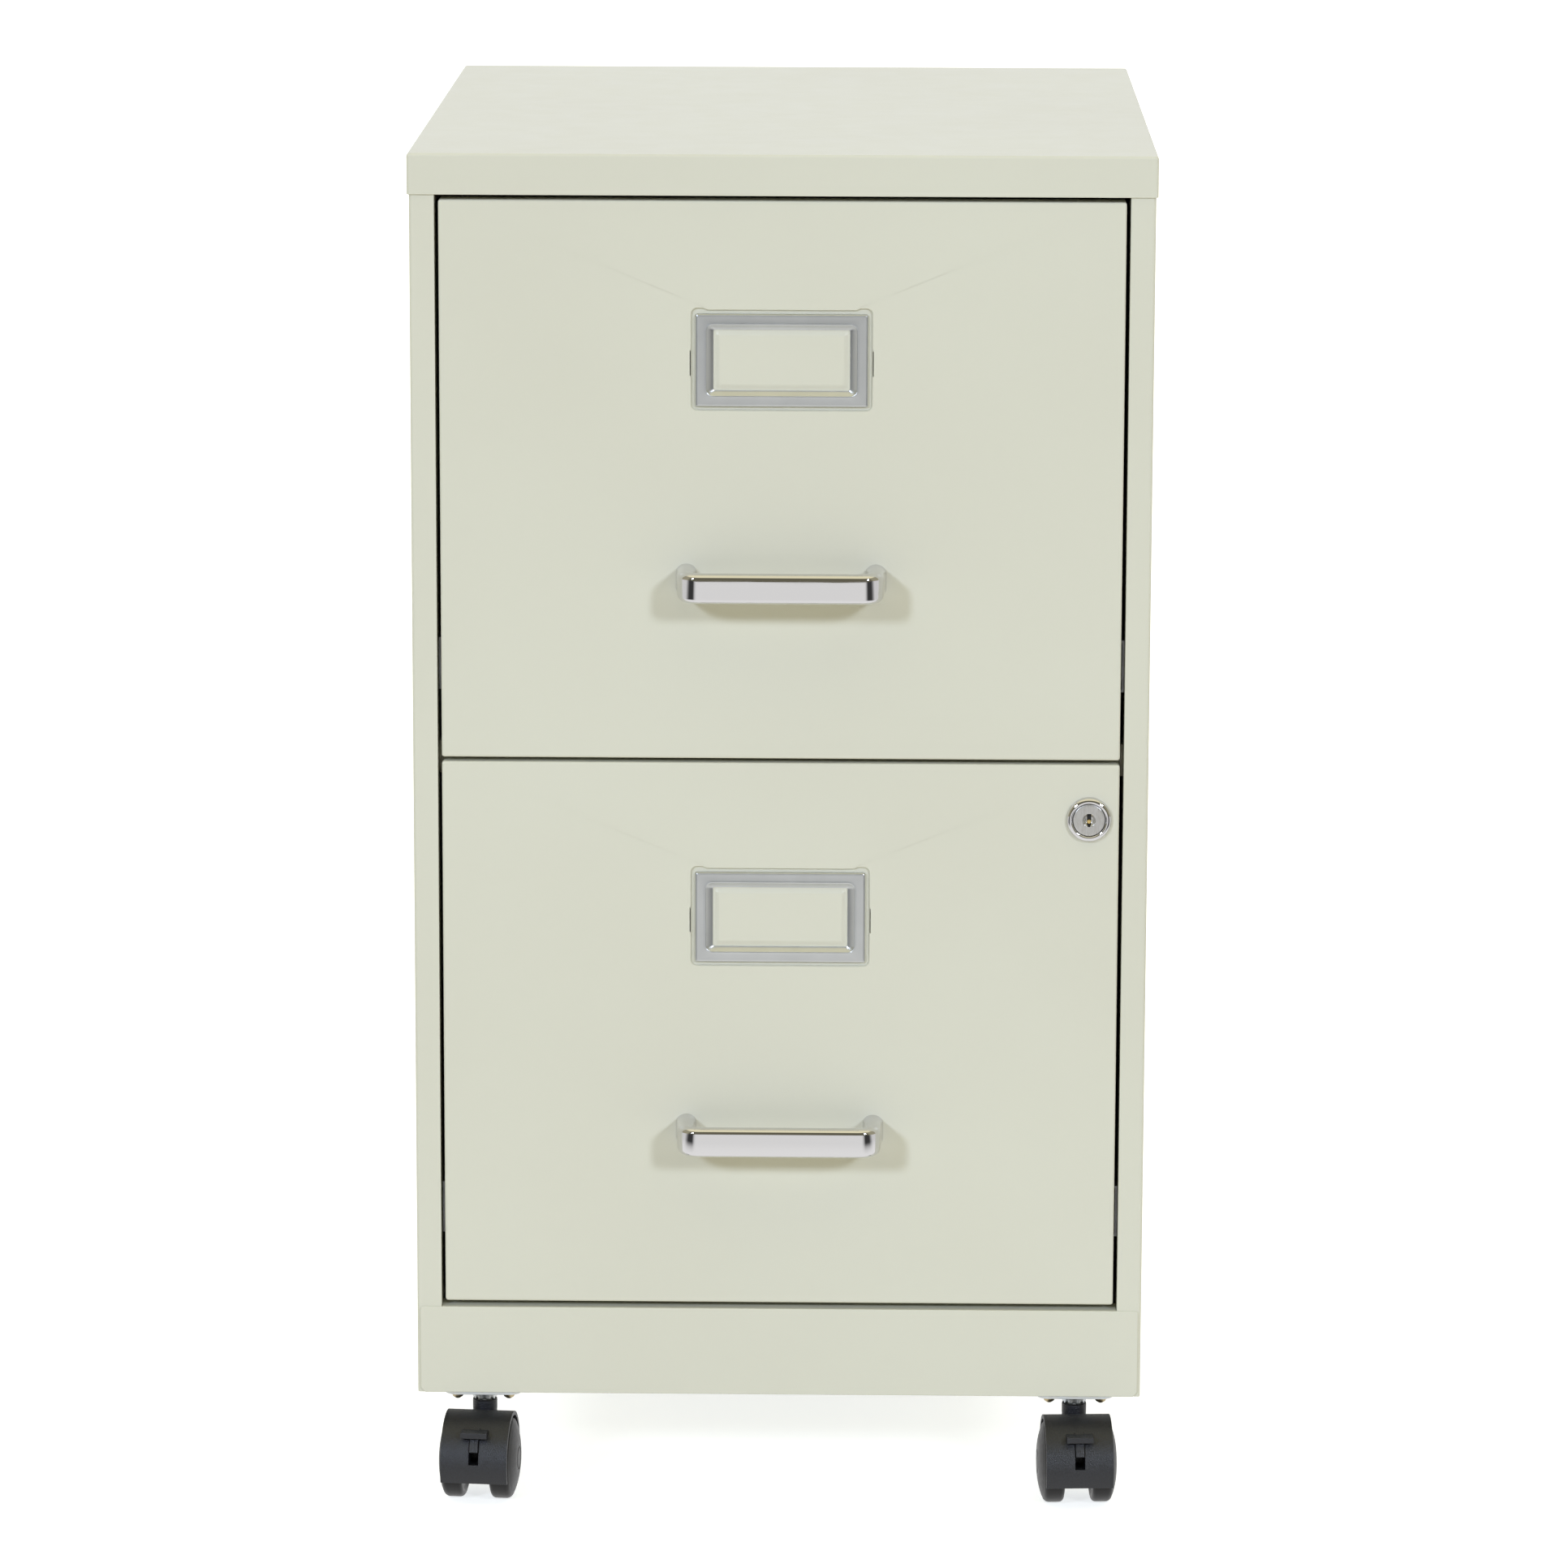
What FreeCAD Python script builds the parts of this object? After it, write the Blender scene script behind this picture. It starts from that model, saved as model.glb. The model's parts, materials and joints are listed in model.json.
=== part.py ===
import FreeCAD, Part
import os
import re
import Sketcher

# Two-drawer steel filing cabinet on four twin-wheel casters.
# Frame: +X right, +Y back, +Z up, origin on the floor under the middle of the whole cabinet.
# Lengths are millimetres and angles are degrees.
#
# Shell pieces are drawn from the cap's front edge (y = 0) and the shell's bottom edge (z = 0).
# Drawer pieces are drawn from the front's outer face (y = 0) and its bottom edge (z = 0).
# Caster pieces are drawn from the stem's axis, with z = 0 on the floor.

SIZES = [
    ("cab_width", 362.0, "shell width over the side panels"),
    ("cab_depth", 457.2, "shell depth over the cap"),
    ("cab_height", 622.3, "shell height without the casters"),
    ("shell_sheet", 0.8, "steel gauge of the shell"),
    ("bend_radius", 1.6, "outer radius of the folded edges"),
    ("cap_gap", 0.2, "clearance between the cap's skirt and the shell"),
    ("cap_drop", 0.5, "clearance between the cap's top and the panels below it"),
    ("cap_skirt", 20.0, "height of the cap's skirt"),
    ("column_face", 12.2, "width of the front columns"),
    ("column_depth", 40.0, "depth of the front columns"),
    ("column_lip", 8.0, "stiffening lip at the back of the columns"),
    ("rear_flange", 14.0, "inward flange at the back of the side panels"),
    ("panel_gap", 0.1, "clearance at each edge of the back panel"),
    ("base_height", 44.5, "height of the base panel"),
    ("base_inset", 1.4, "base panel's ends inside the shell's width"),
    ("base_return", 15.0, "depth of the base panel's top fold"),
    ("base_corner", 1.8, "radius of the base panel's upper corners"),
    ("base_clip", 2.2, "chamfer of the base panel's lower corners"),
    ("pan_flange", 15.0, "height of the bottom pan's side flanges"),
    ("rail_depth", 16.0, "depth of the cross rails"),
    ("rail_height", 16.0, "height of the cross rails"),
    ("top_rail_gap", 1.5, "top rail above the cap's lower edge"),
    ("mid_rail_rise", 6.0, "middle rail above the gap between the drawers"),
    ("rail_gap", 2.0, "clearance between the drawer fronts and the middle rail"),
    ("post_depth", 36.0, "depth of the rear runner posts"),
    ("post_inset", 16.0, "rear runner posts ahead of the back edge"),
    ("channel_width", 36.0, "width of the caster channels"),
    ("channel_height", 12.0, "height of the caster channels"),
    ("channel_sheet", 1.5, "steel gauge of the caster channels"),
    ("channel_start", 4.0, "caster channels' front ends behind the shell's front face"),
    ("gap_top", 2.5, "gap above the upper drawer front"),
    ("gap_mid", 2.2, "gap between the drawer fronts"),
    ("gap_bottom", 3.0, "gap below the lower drawer front"),
    ("gap_side", 2.0, "gap beside the drawer fronts"),
    ("drawer_sheet", 0.8, "steel gauge of the drawers"),
    ("front_depth", 15.0, "depth of the drawer fronts' folds"),
    ("front_radius", 1.8, "outer radius of the drawer fronts' edges"),
    ("tray_clearance", 12.8, "space between the tray and the columns"),
    ("tray_rear_gap", 14.6, "clearance between the tray's end and the back panel"),
    ("tray_floor", 8.0, "underside of the tray above the front's bottom edge"),
    ("tray_headroom", 25.05, "top of the tray below the front's top edge"),
    ("tray_rim", 5.0, "width of the tray's rolled rim"),
    ("tray_rim_lip", 4.0, "drop of the tray's rolled rim"),
    ("tray_notch_depth", 30.0, "length of the cut-away at the tray's front"),
    ("tray_notch_drop", 27.0, "height of the cut-away at the tray's front"),
    ("back_drop", 10.0, "drawer back below the tray's top"),
    ("back_fold", 8.0, "forward fold along the drawer back's top"),
    ("recess_width", 88.8, "label recess width"),
    ("recess_height", 49.9, "label recess height"),
    ("recess_depth", 1.6, "label recess depth"),
    ("plateau_rise", 0.8, "raised pad in the label recess"),
    ("label_drop", 77.75, "label centre below the front's top edge"),
    ("label_width", 85.0, "label frame width"),
    ("label_height", 45.4, "label frame height"),
    ("label_proud", 0.6, "label frame in front of the drawer front"),
    ("window_width", 66.6, "label frame opening width"),
    ("window_height", 29.8, "label frame opening height"),
    ("window_gap", 1.0, "clearance between the raised pad and the frame"),
    ("handle_centre", 89.0, "handle centre above the front's bottom edge"),
    ("handle_span", 102.0, "handle width over its legs"),
    ("handle_reach", 28.5, "handle projection from the drawer front"),
    ("handle_tall", 14.8, "handle bar height"),
    ("handle_bar", 6.0, "handle bar thickness"),
    ("handle_leg", 8.0, "handle leg thickness"),
    ("handle_corner", 6.0, "handle outer corner radius"),
    ("handle_edge", 1.5, "handle long edge radius"),
    ("handle_centres", 95.0, "distance between the handle screws"),
    ("handle_screw_radius", 2.0, "handle screw shank radius"),
    ("handle_screw_head", 4.0, "handle screw head radius"),
    ("handle_screw_head_tall", 2.4, "handle screw head height"),
    ("handle_screw_grip", 12.0, "screw length inside the handle leg"),
    ("screw_gap", 0.1, "clearance round a screw's shank"),
    ("runner_sheet", 1.0, "steel gauge of the runners"),
    ("runner_centre", 44.0, "runner centre above the front's bottom edge"),
    ("runner_half", 13.0, "half the height of the cabinet runner"),
    ("runner_width", 10.8, "width of the cabinet runner's flanges"),
    ("runner_start", 17.0, "runners' front end behind the shell's front face"),
    ("runner_gap", 0.3, "running clearance between rollers and runners"),
    ("slide_flange_drop", 3.0, "drawer runner flange below the cabinet runner's top flange"),
    ("slide_flange_width", 10.5, "width of the drawer runner's flange"),
    ("roller_width", 8.2, "roller width"),
    ("roller_radius", 10.0, "cabinet roller radius"),
    ("roller_pin_radius", 2.0, "roller pin radius"),
    ("roller_pin_head", 3.4, "roller pin head radius"),
    ("roller_pin_head_tall", 0.6, "roller pin head thickness"),
    ("pin_gap", 0.05, "radial running clearance of every turning joint"),
    ("roller_inset", 14.0, "roller axles from the runners' ends"),
    ("lock_inset_side", 14.8, "lock centre from the front's side edge"),
    ("lock_inset_top", 27.3, "lock centre from the front's top edge"),
    ("bezel_radius", 11.25, "lock bezel radius"),
    ("bezel_proud", 2.8, "lock bezel in front of the drawer front"),
    ("barrel_radius", 9.3, "lock barrel radius"),
    ("barrel_length", 19.5, "lock barrel behind the front's outer face"),
    ("nut_radius", 12.6, "lock nut outer radius"),
    ("nut_tall", 4.0, "lock nut thickness"),
    ("plug_radius", 7.9, "lock plug radius"),
    ("plug_recess", 0.8, "plug face behind the bezel's rim"),
    ("plug_shoulder", 0.5, "plug behind the barrel's end"),
    ("keyway_wide", 1.8, "keyway width"),
    ("keyway_tall", 7.0, "keyway height"),
    ("keyway_deep", 9.0, "keyway depth"),
    ("tang_size", 6.0, "square tang that drives the cam"),
    ("cam_sheet", 1.6, "cam thickness"),
    ("cam_reach", 31.0, "cam tip from the lock's axis"),
    ("cam_wide", 12.0, "cam width"),
    ("cam_screw_radius", 4.5, "cam screw head radius"),
    ("cam_screw_tall", 2.0, "cam screw head height"),
    ("caster_height", 55.7, "floor to the shell's bottom edge"),
    ("channel_gap", 1.3, "clearance between the caster channels and the bottom pan's flanges"),
    ("caster_inset", 23.3, "front caster stems from the shell's front edge"),
    ("rear_caster_inset", 32.0, "rear caster stems from the shell's back edge"),
    ("caster_trail", 17.0, "axle ahead of the stem"),
    ("swivel_left", -5.4, "front left caster's turn"),
    ("swivel_right", 3.4, "front right caster's turn"),
    ("swivel_rear", 0.0, "rear casters' turn"),
    ("wheel_radius", 20.5, "caster wheel radius"),
    ("wheel_inner", 6.9, "wheel's inner face from the caster's middle"),
    ("wheel_outer", 19.9, "wheel's outer face from the caster's middle"),
    ("wheel_edge", 1.2, "chamfer of the tread's inner edge"),
    ("axle_radius", 2.5, "caster axle radius"),
    ("axle_half", 15.5, "half the caster axle's length"),
    ("hood_half", 16.8, "half the hood's width"),
    ("hood_wall", 2.0, "hood wall thickness"),
    ("hood_gap", 0.9, "clearance between the wheels and the hood"),
    ("hood_web", 12.4, "hood's middle web thickness"),
    ("hood_skirt", 12.8, "hood's lower edge above the floor"),
    ("hood_rear_skirt", 14.0, "hood's lower edge behind the axle"),
    ("neck_radius", 6.1, "hood's neck radius"),
    ("collar_gap", 0.4, "clearance between the neck and the bearing collar"),
    ("collar_radius", 6.3, "bearing collar radius"),
    ("collar_tall", 6.8, "bearing collar height"),
    ("stem_radius", 4.0, "caster stem radius"),
    ("stem_bottom", 28.0, "stem's lower end above the floor"),
    ("stem_gap", 0.5, "stem's top below the shell"),
    ("plate_size", 38.0, "caster plate side"),
    ("plate_thick", 2.5, "caster plate thickness"),
    ("plate_corner", 6.0, "caster plate corner radius"),
    ("plate_screws", 25.8, "distance between the caster plate's screws"),
    ("plate_screw_radius", 2.0, "caster plate screw shank radius"),
    ("plate_screw_head", 3.2, "caster plate screw head radius"),
    ("plate_screw_head_tall", 3.2, "caster plate screw head height"),
    ("plate_screw_grip", 5.0, "caster plate screw length above the plate"),
    ("slot_wide", 5.0, "brake slot width"),
    ("slot_low", 5.5, "brake slot's lower end, degrees above the axle's level"),
    ("slot_high", 53.0, "brake slot's upper end, degrees above the axle's level"),
    ("slot_deep", 3.0, "brake slot depth into the hood"),
    ("brake_tab_wide", 13.4, "brake tab width"),
    ("brake_tab_long", 7.2, "brake tab's top face, from its root to its front edge"),
    ("brake_tab_low", 40.9, "brake tab's lower root, degrees above the axle's level"),
    ("brake_tab_high", 51.4, "brake tab's upper root, degrees above the axle's level"),
    ("brake_stem_low", 20.8, "brake stem's lower end, degrees above the axle's level"),
    ("brake_gap", 0.3, "clearance between the brake lever and the hood"),
]

# Places worked out from the sizes, as expressions.
HALF = "cab_width / 2"
FACE = "(shell_sheet + cap_gap)"
OPENING = f"({HALF} - column_face)"
FRONT_Y = f"(handle_reach - {FACE} - cab_depth) / 2"
FRONT_HEIGHT = "((cab_height - cap_skirt - base_height - gap_top - gap_mid - gap_bottom) / 2)"
FRONT_HALF = f"({OPENING} - gap_side)"
PANEL_TOP = "(cab_height - shell_sheet - cap_drop)"
BACK_Y = f"(cab_depth - {FACE} - shell_sheet)"
MID_GAP_Z = f"(base_height + gap_bottom + {FRONT_HEIGHT} + gap_mid / 2)"
MID_RAIL_Y = f"({FACE} + front_depth + rail_gap)"
TRAY_HALF = f"({OPENING} - tray_clearance)"
TRAY_LENGTH = f"({BACK_Y} - shell_sheet - {FACE} - tray_rear_gap)"
TRAY_TOP = f"({FRONT_HEIGHT} - tray_headroom)"
LABEL_Z = f"({FRONT_HEIGHT} - label_drop)"
SLIDE_FLANGE_TOP = "(runner_centre + runner_half - slide_flange_drop)"
REAR_ROLLER_RADIUS = "(runner_half - runner_sheet - runner_gap)"
REAR_ROLLER_Y = f"({TRAY_LENGTH} - roller_inset)"
FRONT_ROLLER_Y = "(runner_start + roller_inset)"
FRONT_ROLLER_Z = f"({SLIDE_FLANGE_TOP} - runner_sheet - runner_gap - roller_radius)"
LOCK_X = f"({FRONT_HALF} - lock_inset_side)"
LOCK_Z = f"({FRONT_HEIGHT} - lock_inset_top)"
CAM_Y = "(barrel_length + plug_shoulder)"
CASTER_X = f"({OPENING} - shell_sheet - channel_gap - channel_width / 2)"
HOOD_RADIUS = "(wheel_radius + hood_gap + hood_wall)"
NECK_TOP = "(caster_height - plate_thick - collar_tall - collar_gap)"

LEVELS = {
    "lower": "(base_height + gap_bottom)",
    "upper": f"(base_height + gap_bottom + {FRONT_HEIGHT} + gap_mid)",
}
SIDES = {"left": -1, "right": 1}
FRONT_CASTER_Y = f"({FRONT_Y} + caster_inset)"
REAR_CASTER_Y = f"({FRONT_Y} + cab_depth - rear_caster_inset)"
CASTERS = {
    "front_left": (f"-{CASTER_X}", FRONT_CASTER_Y, "swivel_left"),
    "front_right": (CASTER_X, FRONT_CASTER_Y, "swivel_right"),
    "rear_left": (f"-{CASTER_X}", REAR_CASTER_Y, "swivel_rear"),
    "rear_right": (CASTER_X, REAR_CASTER_Y, "swivel_rear"),
}

doc = FreeCAD.newDocument("FilingCabinet")
sheet = doc.addObject("Spreadsheet::Sheet", "Sizes")
for row, (alias, value, meaning) in enumerate(SIZES, start=1):
    sheet.set(f"A{row}", meaning)
    sheet.set(f"B{row}", str(value))
    sheet.setAlias(f"B{row}", alias)
doc.recompute()

ALIASES = {alias for alias, value, meaning in SIZES}
nodes = []


# ---- helpers ---------------------------------------------------------------------------------

def bound(text):
    """An expression with every size's name turned into a reference to its cell."""
    return re.sub(r"[a-z]\w*", lambda m: f"Sizes.{m[0]}" if m[0] in ALIASES else m[0], str(text))


def number(text):
    """The present value of an expression."""
    return float(sheet.evalExpression(bound(text)))


def minus(text):
    return f"-({text})"


def rectangle(left, low, right, high):
    return [(left, low), (right, low), (right, high), (left, high)]


def box_about(x, y, wide, tall):
    """A rectangle of a given width and height about a point."""
    return rectangle(f"{x} - {wide} / 2", f"{y} - {tall} / 2", f"{x} + {wide} / 2", f"{y} + {tall} / 2")


def new_body(label):
    """A body for one sub-part, registered under the name of its node."""
    body = doc.addObject("PartDesign::Body", label)
    body.Label = label
    nodes.append(body)
    return body


def origin_feature(body, role):
    return next(f for f in body.Origin.OriginFeatures if f.Role == role)


def bind_point(sketch, geometry, end, x, y):
    """Fix one point of a sketch at a pair of expressions."""
    for kind, text in (("DistanceX", x), ("DistanceY", y)):
        index = sketch.addConstraint(Sketcher.Constraint(kind, -1, 1, geometry, end, number(text)))
        sketch.setExpression(f"Constraints[{index}]", bound(text))


def draw_loop(sketch, points):
    """A closed outline of straight lines through the points."""
    corners = [FreeCAD.Vector(number(x), number(y), 0) for x, y in points]
    first = sketch.GeometryCount
    count = len(corners)
    for i in range(count):
        sketch.addGeometry(Part.LineSegment(corners[i], corners[(i + 1) % count]), False)
    for i in range(count):
        sketch.addConstraint(Sketcher.Constraint("Coincident", first + i, 2, first + (i + 1) % count, 1))
    for i, (x, y) in enumerate(points):
        bind_point(sketch, first + i, 1, x, y)


def draw_circle(sketch, x, y, radius):
    centre = FreeCAD.Vector(number(x), number(y), 0)
    index = sketch.addGeometry(Part.Circle(centre, FreeCAD.Vector(0, 0, 1), number(radius)), False)
    bind_point(sketch, index, 3, x, y)
    size = sketch.addConstraint(Sketcher.Constraint("Radius", index, number(radius)))
    sketch.setExpression(f"Constraints[{size}]", bound(radius))


def new_sketch(body, plane, shapes, start="0"):
    """A sketch of loops (lists of points) and circles (x, y, radius), start along the plane's axis."""
    sketch = body.newObject("Sketcher::SketchObject", f"{body.Label}_sketch")
    sketch.AttachmentSupport = [(origin_feature(body, f"{plane}_Plane"), "")]
    sketch.MapMode = "FlatFace"
    offset = minus(start) if plane == "XZ" else start
    sketch.setExpression("AttachmentOffset.Base.z", bound(offset))
    for shape in shapes:
        if isinstance(shape, tuple):
            draw_circle(sketch, *shape)
        else:
            draw_loop(sketch, shape)
    return sketch


def finished(feature):
    doc.recompute()
    feature.Profile[0].Visibility = False
    return feature


def pad(body, plane, shapes, start, end):
    """Material between two positions on the plane's axis."""
    feature = body.newObject("PartDesign::Pad", f"{body.Label}_pad")
    feature.Profile = new_sketch(body, plane, shapes, start)
    feature.setExpression("Length", bound(f"{end} - ({start})"))
    feature.Reversed = plane == "XZ"
    return finished(feature)


def pocket(body, plane, shapes, start, end):
    """A cut between two positions on the plane's axis, which must take some material away."""
    before = body.Shape.Volume
    feature = body.newObject("PartDesign::Pocket", f"{body.Label}_pocket")
    feature.Profile = new_sketch(body, plane, shapes, start)
    feature.setExpression("Length", bound(f"{end} - ({start})"))
    feature.Reversed = plane != "XZ"
    finished(feature)
    if not body.Shape.Volume < before:
        raise RuntimeError(f"{body.Label}: a pocket cuts nothing")
    return feature


def revolve(body, plane, outline, axis):
    """A full turn of one outline about an axis of the body."""
    feature = body.newObject("PartDesign::Revolution", f"{body.Label}_turn")
    feature.Profile = new_sketch(body, plane, [outline])
    feature.ReferenceAxis = (origin_feature(body, f"{axis}_Axis"), [""])
    feature.Angle = 360
    return finished(feature)


def dress(body, kind, edges, size):
    """A fillet or chamfer on the edges that a test picks."""
    base = body.Tip
    names = [f"Edge{i}" for i, edge in enumerate(base.Shape.Edges, start=1) if edges(edge)]
    feature = body.newObject(f"PartDesign::{kind}", f"{body.Label}_{kind.lower()}")
    feature.Base = (base, names)
    feature.setExpression("Radius" if kind == "Fillet" else "Size", bound(size))
    doc.recompute()
    return feature


def runs_along(edge, axis):
    """Whether an edge is a straight line along an axis."""
    spread = {"X": edge.BoundBox.XLength, "Y": edge.BoundBox.YLength, "Z": edge.BoundBox.ZLength}
    return spread.pop(axis) > 0.01 and max(spread.values()) < 0.01


def near(value, text):
    return abs(value - number(text)) < 0.01


def place(thing, x="0", y="0", z="0", turn=None):
    """Bind a sub-part's position, and its turn about +Z, to the sheet."""
    for axis, text in (("x", x), ("y", y), ("z", z)):
        thing.setExpression(f"Placement.Base.{axis}", bound(text))
    if turn:
        thing.setExpression("Placement.Rotation.Yaw", bound(turn))
    doc.recompute()


def place_on_shell(thing):
    place(thing, y=FRONT_Y, z="caster_height")


def place_on_drawer(thing, level, x="0", z="0"):
    place(thing, x=x, y=f"{FRONT_Y} + {FACE}", z=f"caster_height + {LEVELS[level]} + {z}")


def place_on_caster(thing, corner):
    x, y, turn = CASTERS[corner]
    place(thing, x=x, y=y, turn=turn)


def mirrored(label, source):
    """A copy of a sub-part on the other side of the middle plane."""
    copy = doc.addObject("Part::Mirroring", label)
    copy.Label = label
    copy.Source = source
    copy.Normal = FreeCAD.Vector(1, 0, 0)
    nodes.append(copy)
    doc.recompute()
    return copy


def both_sides(shapes):
    """Sketch shapes together with their mirror images about the middle plane."""
    result = []
    for shape in shapes:
        if isinstance(shape, tuple):
            x, y, radius = shape
            result += [shape, (minus(x), y, radius)]
        else:
            result += [shape, [(minus(x), y) for x, y in reversed(shape)]]
    return result


def caster_centres():
    """The four stems' positions in the shell's own coordinates."""
    ends = ("caster_inset", "cab_depth - rear_caster_inset")
    return [(x, y) for x in (minus(CASTER_X), CASTER_X) for y in ends]


def plate_screw_circles(radius):
    """A circle at each of the caster plates' screws, in the shell's own coordinates."""
    half = "plate_screws / 2"
    offsets = [(a, b) for a in (f"- {half}", f"+ {half}") for b in (f"- {half}", f"+ {half}")]
    return [(f"{x} {dx}", f"{y} {dy}", radius) for x, y in caster_centres() for dx, dy in offsets]


# ---- shell -----------------------------------------------------------------------------------

def make_top_cap():
    body = new_body("top_cap")
    outline = rectangle(f"-{HALF} - {FACE}", "0", f"{HALF} + {FACE}", "cab_depth")
    pad(body, "XY", [outline], "cab_height - cap_skirt", "cab_height")
    top = number("cab_height")
    dress(body, "Fillet", lambda e: runs_along(e, "Z") or e.BoundBox.ZMin > top - 0.01, "bend_radius")
    inside = rectangle(f"-{HALF} - cap_gap", "shell_sheet", f"{HALF} + cap_gap", "cab_depth - shell_sheet")
    pocket(body, "XY", [inside], "cab_height - cap_skirt", "cab_height - shell_sheet")
    place_on_shell(body)


def make_side_panels():
    """The side sheet with its front column, rear flange and bottom flange folded from it."""
    body = new_body("right_side_panel")
    inner = f"{HALF} - shell_sheet"
    column_inner = f"{OPENING} + shell_sheet"
    column_back = f"{FACE} + column_depth"
    profile = [
        (OPENING, FACE),
        (HALF, FACE),
        (HALF, f"cab_depth - {FACE}"),
        (f"{HALF} - rear_flange", f"cab_depth - {FACE}"),
        (f"{HALF} - rear_flange", BACK_Y),
        (inner, BACK_Y),
        (inner, f"{FACE} + shell_sheet"),
        (column_inner, f"{FACE} + shell_sheet"),
        (column_inner, f"{column_back} - shell_sheet"),
        (f"{column_inner} + column_lip", f"{column_back} - shell_sheet"),
        (f"{column_inner} + column_lip", column_back),
        (OPENING, column_back),
    ]
    pad(body, "XY", [profile], "0", PANEL_TOP)

    def front_corner(edge):
        return runs_along(edge, "Z") and near(edge.BoundBox.XMin, HALF) and near(edge.BoundBox.YMin, FACE)

    dress(body, "Fillet", front_corner, "bend_radius")
    flange = rectangle(OPENING, column_back, f"{HALF} - shell_sheet / 2", f"{BACK_Y} - shell_sheet")
    pad(body, "XY", [flange], "0", "shell_sheet")
    place_on_shell(body)
    mirrored("left_side_panel", body)


def make_back_panel():
    body = new_body("back_panel")
    edge = f"{HALF} - shell_sheet - panel_gap"
    outline = rectangle(minus(edge), "0", edge, PANEL_TOP)
    pad(body, "XZ", [outline], f"{BACK_Y} - shell_sheet", BACK_Y)
    place_on_shell(body)


def make_bottom_pan():
    body = new_body("bottom_pan")
    inner = f"{OPENING} - shell_sheet"
    profile = [
        (minus(OPENING), "0"),
        (OPENING, "0"),
        (OPENING, "pan_flange"),
        (inner, "pan_flange"),
        (inner, "shell_sheet"),
        (minus(inner), "shell_sheet"),
        (minus(inner), "pan_flange"),
        (minus(OPENING), "pan_flange"),
    ]
    pad(body, "XZ", [profile], FACE, f"{BACK_Y} - shell_sheet")
    pocket(body, "XY", plate_screw_circles("plate_screw_radius + screw_gap"), "0", "shell_sheet")
    place_on_shell(body)


def make_base_front_panel():
    body = new_body("base_front_panel")
    edge = f"({HALF} - base_inset)"
    face = rectangle(minus(edge), "0", edge, "base_height")
    pad(body, "XZ", [face], f"{FACE} - shell_sheet", FACE)

    def corner_at(height):
        return lambda edge: runs_along(edge, "Y") and near(edge.BoundBox.ZMin, height)

    dress(body, "Fillet", corner_at("base_height"), "base_corner")
    dress(body, "Chamfer", corner_at("0"), "base_clip")
    fold_edge = f"({OPENING} - panel_gap)"
    fold = rectangle(minus(fold_edge), "base_height - shell_sheet", fold_edge, "base_height")
    pad(body, "XZ", [fold], f"{FACE} - shell_sheet / 2", f"{FACE} + base_return")
    place_on_shell(body)


def make_cross_rail(label, front, low, high, fold_at_top):
    """An angle between the columns, with its horizontal leg at the top or at the bottom."""
    body = new_body(label)
    back = f"{front} + rail_depth"
    inner = f"{front} + shell_sheet"
    if fold_at_top:
        step = f"{high} - shell_sheet"
        profile = [(front, low), (inner, low), (inner, step), (back, step), (back, high), (front, high)]
    else:
        step = f"{low} + shell_sheet"
        profile = [(front, low), (back, low), (back, step), (inner, step), (inner, high), (front, high)]
    pad(body, "YZ", [profile], minus(OPENING), OPENING)
    place_on_shell(body)


def make_cross_rails():
    top_low = "cab_height - cap_skirt + top_rail_gap"
    make_cross_rail("top_front_rail", FACE, top_low, PANEL_TOP, fold_at_top=False)
    mid_high = f"{MID_GAP_Z} + mid_rail_rise"
    make_cross_rail("mid_cross_rail", MID_RAIL_Y, f"{mid_high} - rail_height", mid_high, fold_at_top=True)


def make_rear_runner_posts():
    body = new_body("rear_runner_posts")
    back = "(cab_depth - post_inset)"
    front = f"({back} - post_depth)"
    outer = f"{HALF} - shell_sheet"
    web = f"{OPENING} + shell_sheet"
    profile = [
        (OPENING, front),
        (outer, front),
        (outer, f"{front} + shell_sheet"),
        (web, f"{front} + shell_sheet"),
        (web, f"{back} - shell_sheet"),
        (outer, f"{back} - shell_sheet"),
        (outer, back),
        (OPENING, back),
    ]
    pad(body, "XY", both_sides([profile]), "shell_sheet", PANEL_TOP)
    place_on_shell(body)


def make_caster_channels():
    body = new_body("caster_channels")
    left = f"({CASTER_X} - channel_width / 2)"
    right = f"({CASTER_X} + channel_width / 2)"
    low = "shell_sheet"
    profile = [
        (left, low),
        (right, low),
        (right, f"{low} + channel_height"),
        (f"{right} - channel_sheet", f"{low} + channel_height"),
        (f"{right} - channel_sheet", f"{low} + channel_sheet"),
        (f"{left} + channel_sheet", f"{low} + channel_sheet"),
        (f"{left} + channel_sheet", f"{low} + channel_height"),
        (left, f"{low} + channel_height"),
    ]
    pad(body, "XZ", both_sides([profile]), f"{FACE} + channel_start", f"{BACK_Y} - shell_sheet")
    holes = plate_screw_circles("plate_screw_radius + screw_gap")
    pocket(body, "XY", holes, low, f"{low} + channel_sheet")
    place_on_shell(body)


# ---- runners and rollers ---------------------------------------------------------------------

def add_roller_pins(body, y, z, web, tip):
    """A pair of headed pins across the roller gaps, from the webs at x = web to their tips at x = tip."""
    outward = number(tip) > number(web)
    head = f"{tip} - roller_pin_head_tall" if outward else f"{tip} + roller_pin_head_tall"
    for radius, start in (("roller_pin_radius", web), ("roller_pin_head", head)):
        low, high = (start, tip) if outward else (tip, start)
        pad(body, "YZ", [(y, z, radius)], low, high)
        pad(body, "YZ", [(y, z, radius)], minus(high), minus(low))


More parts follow.
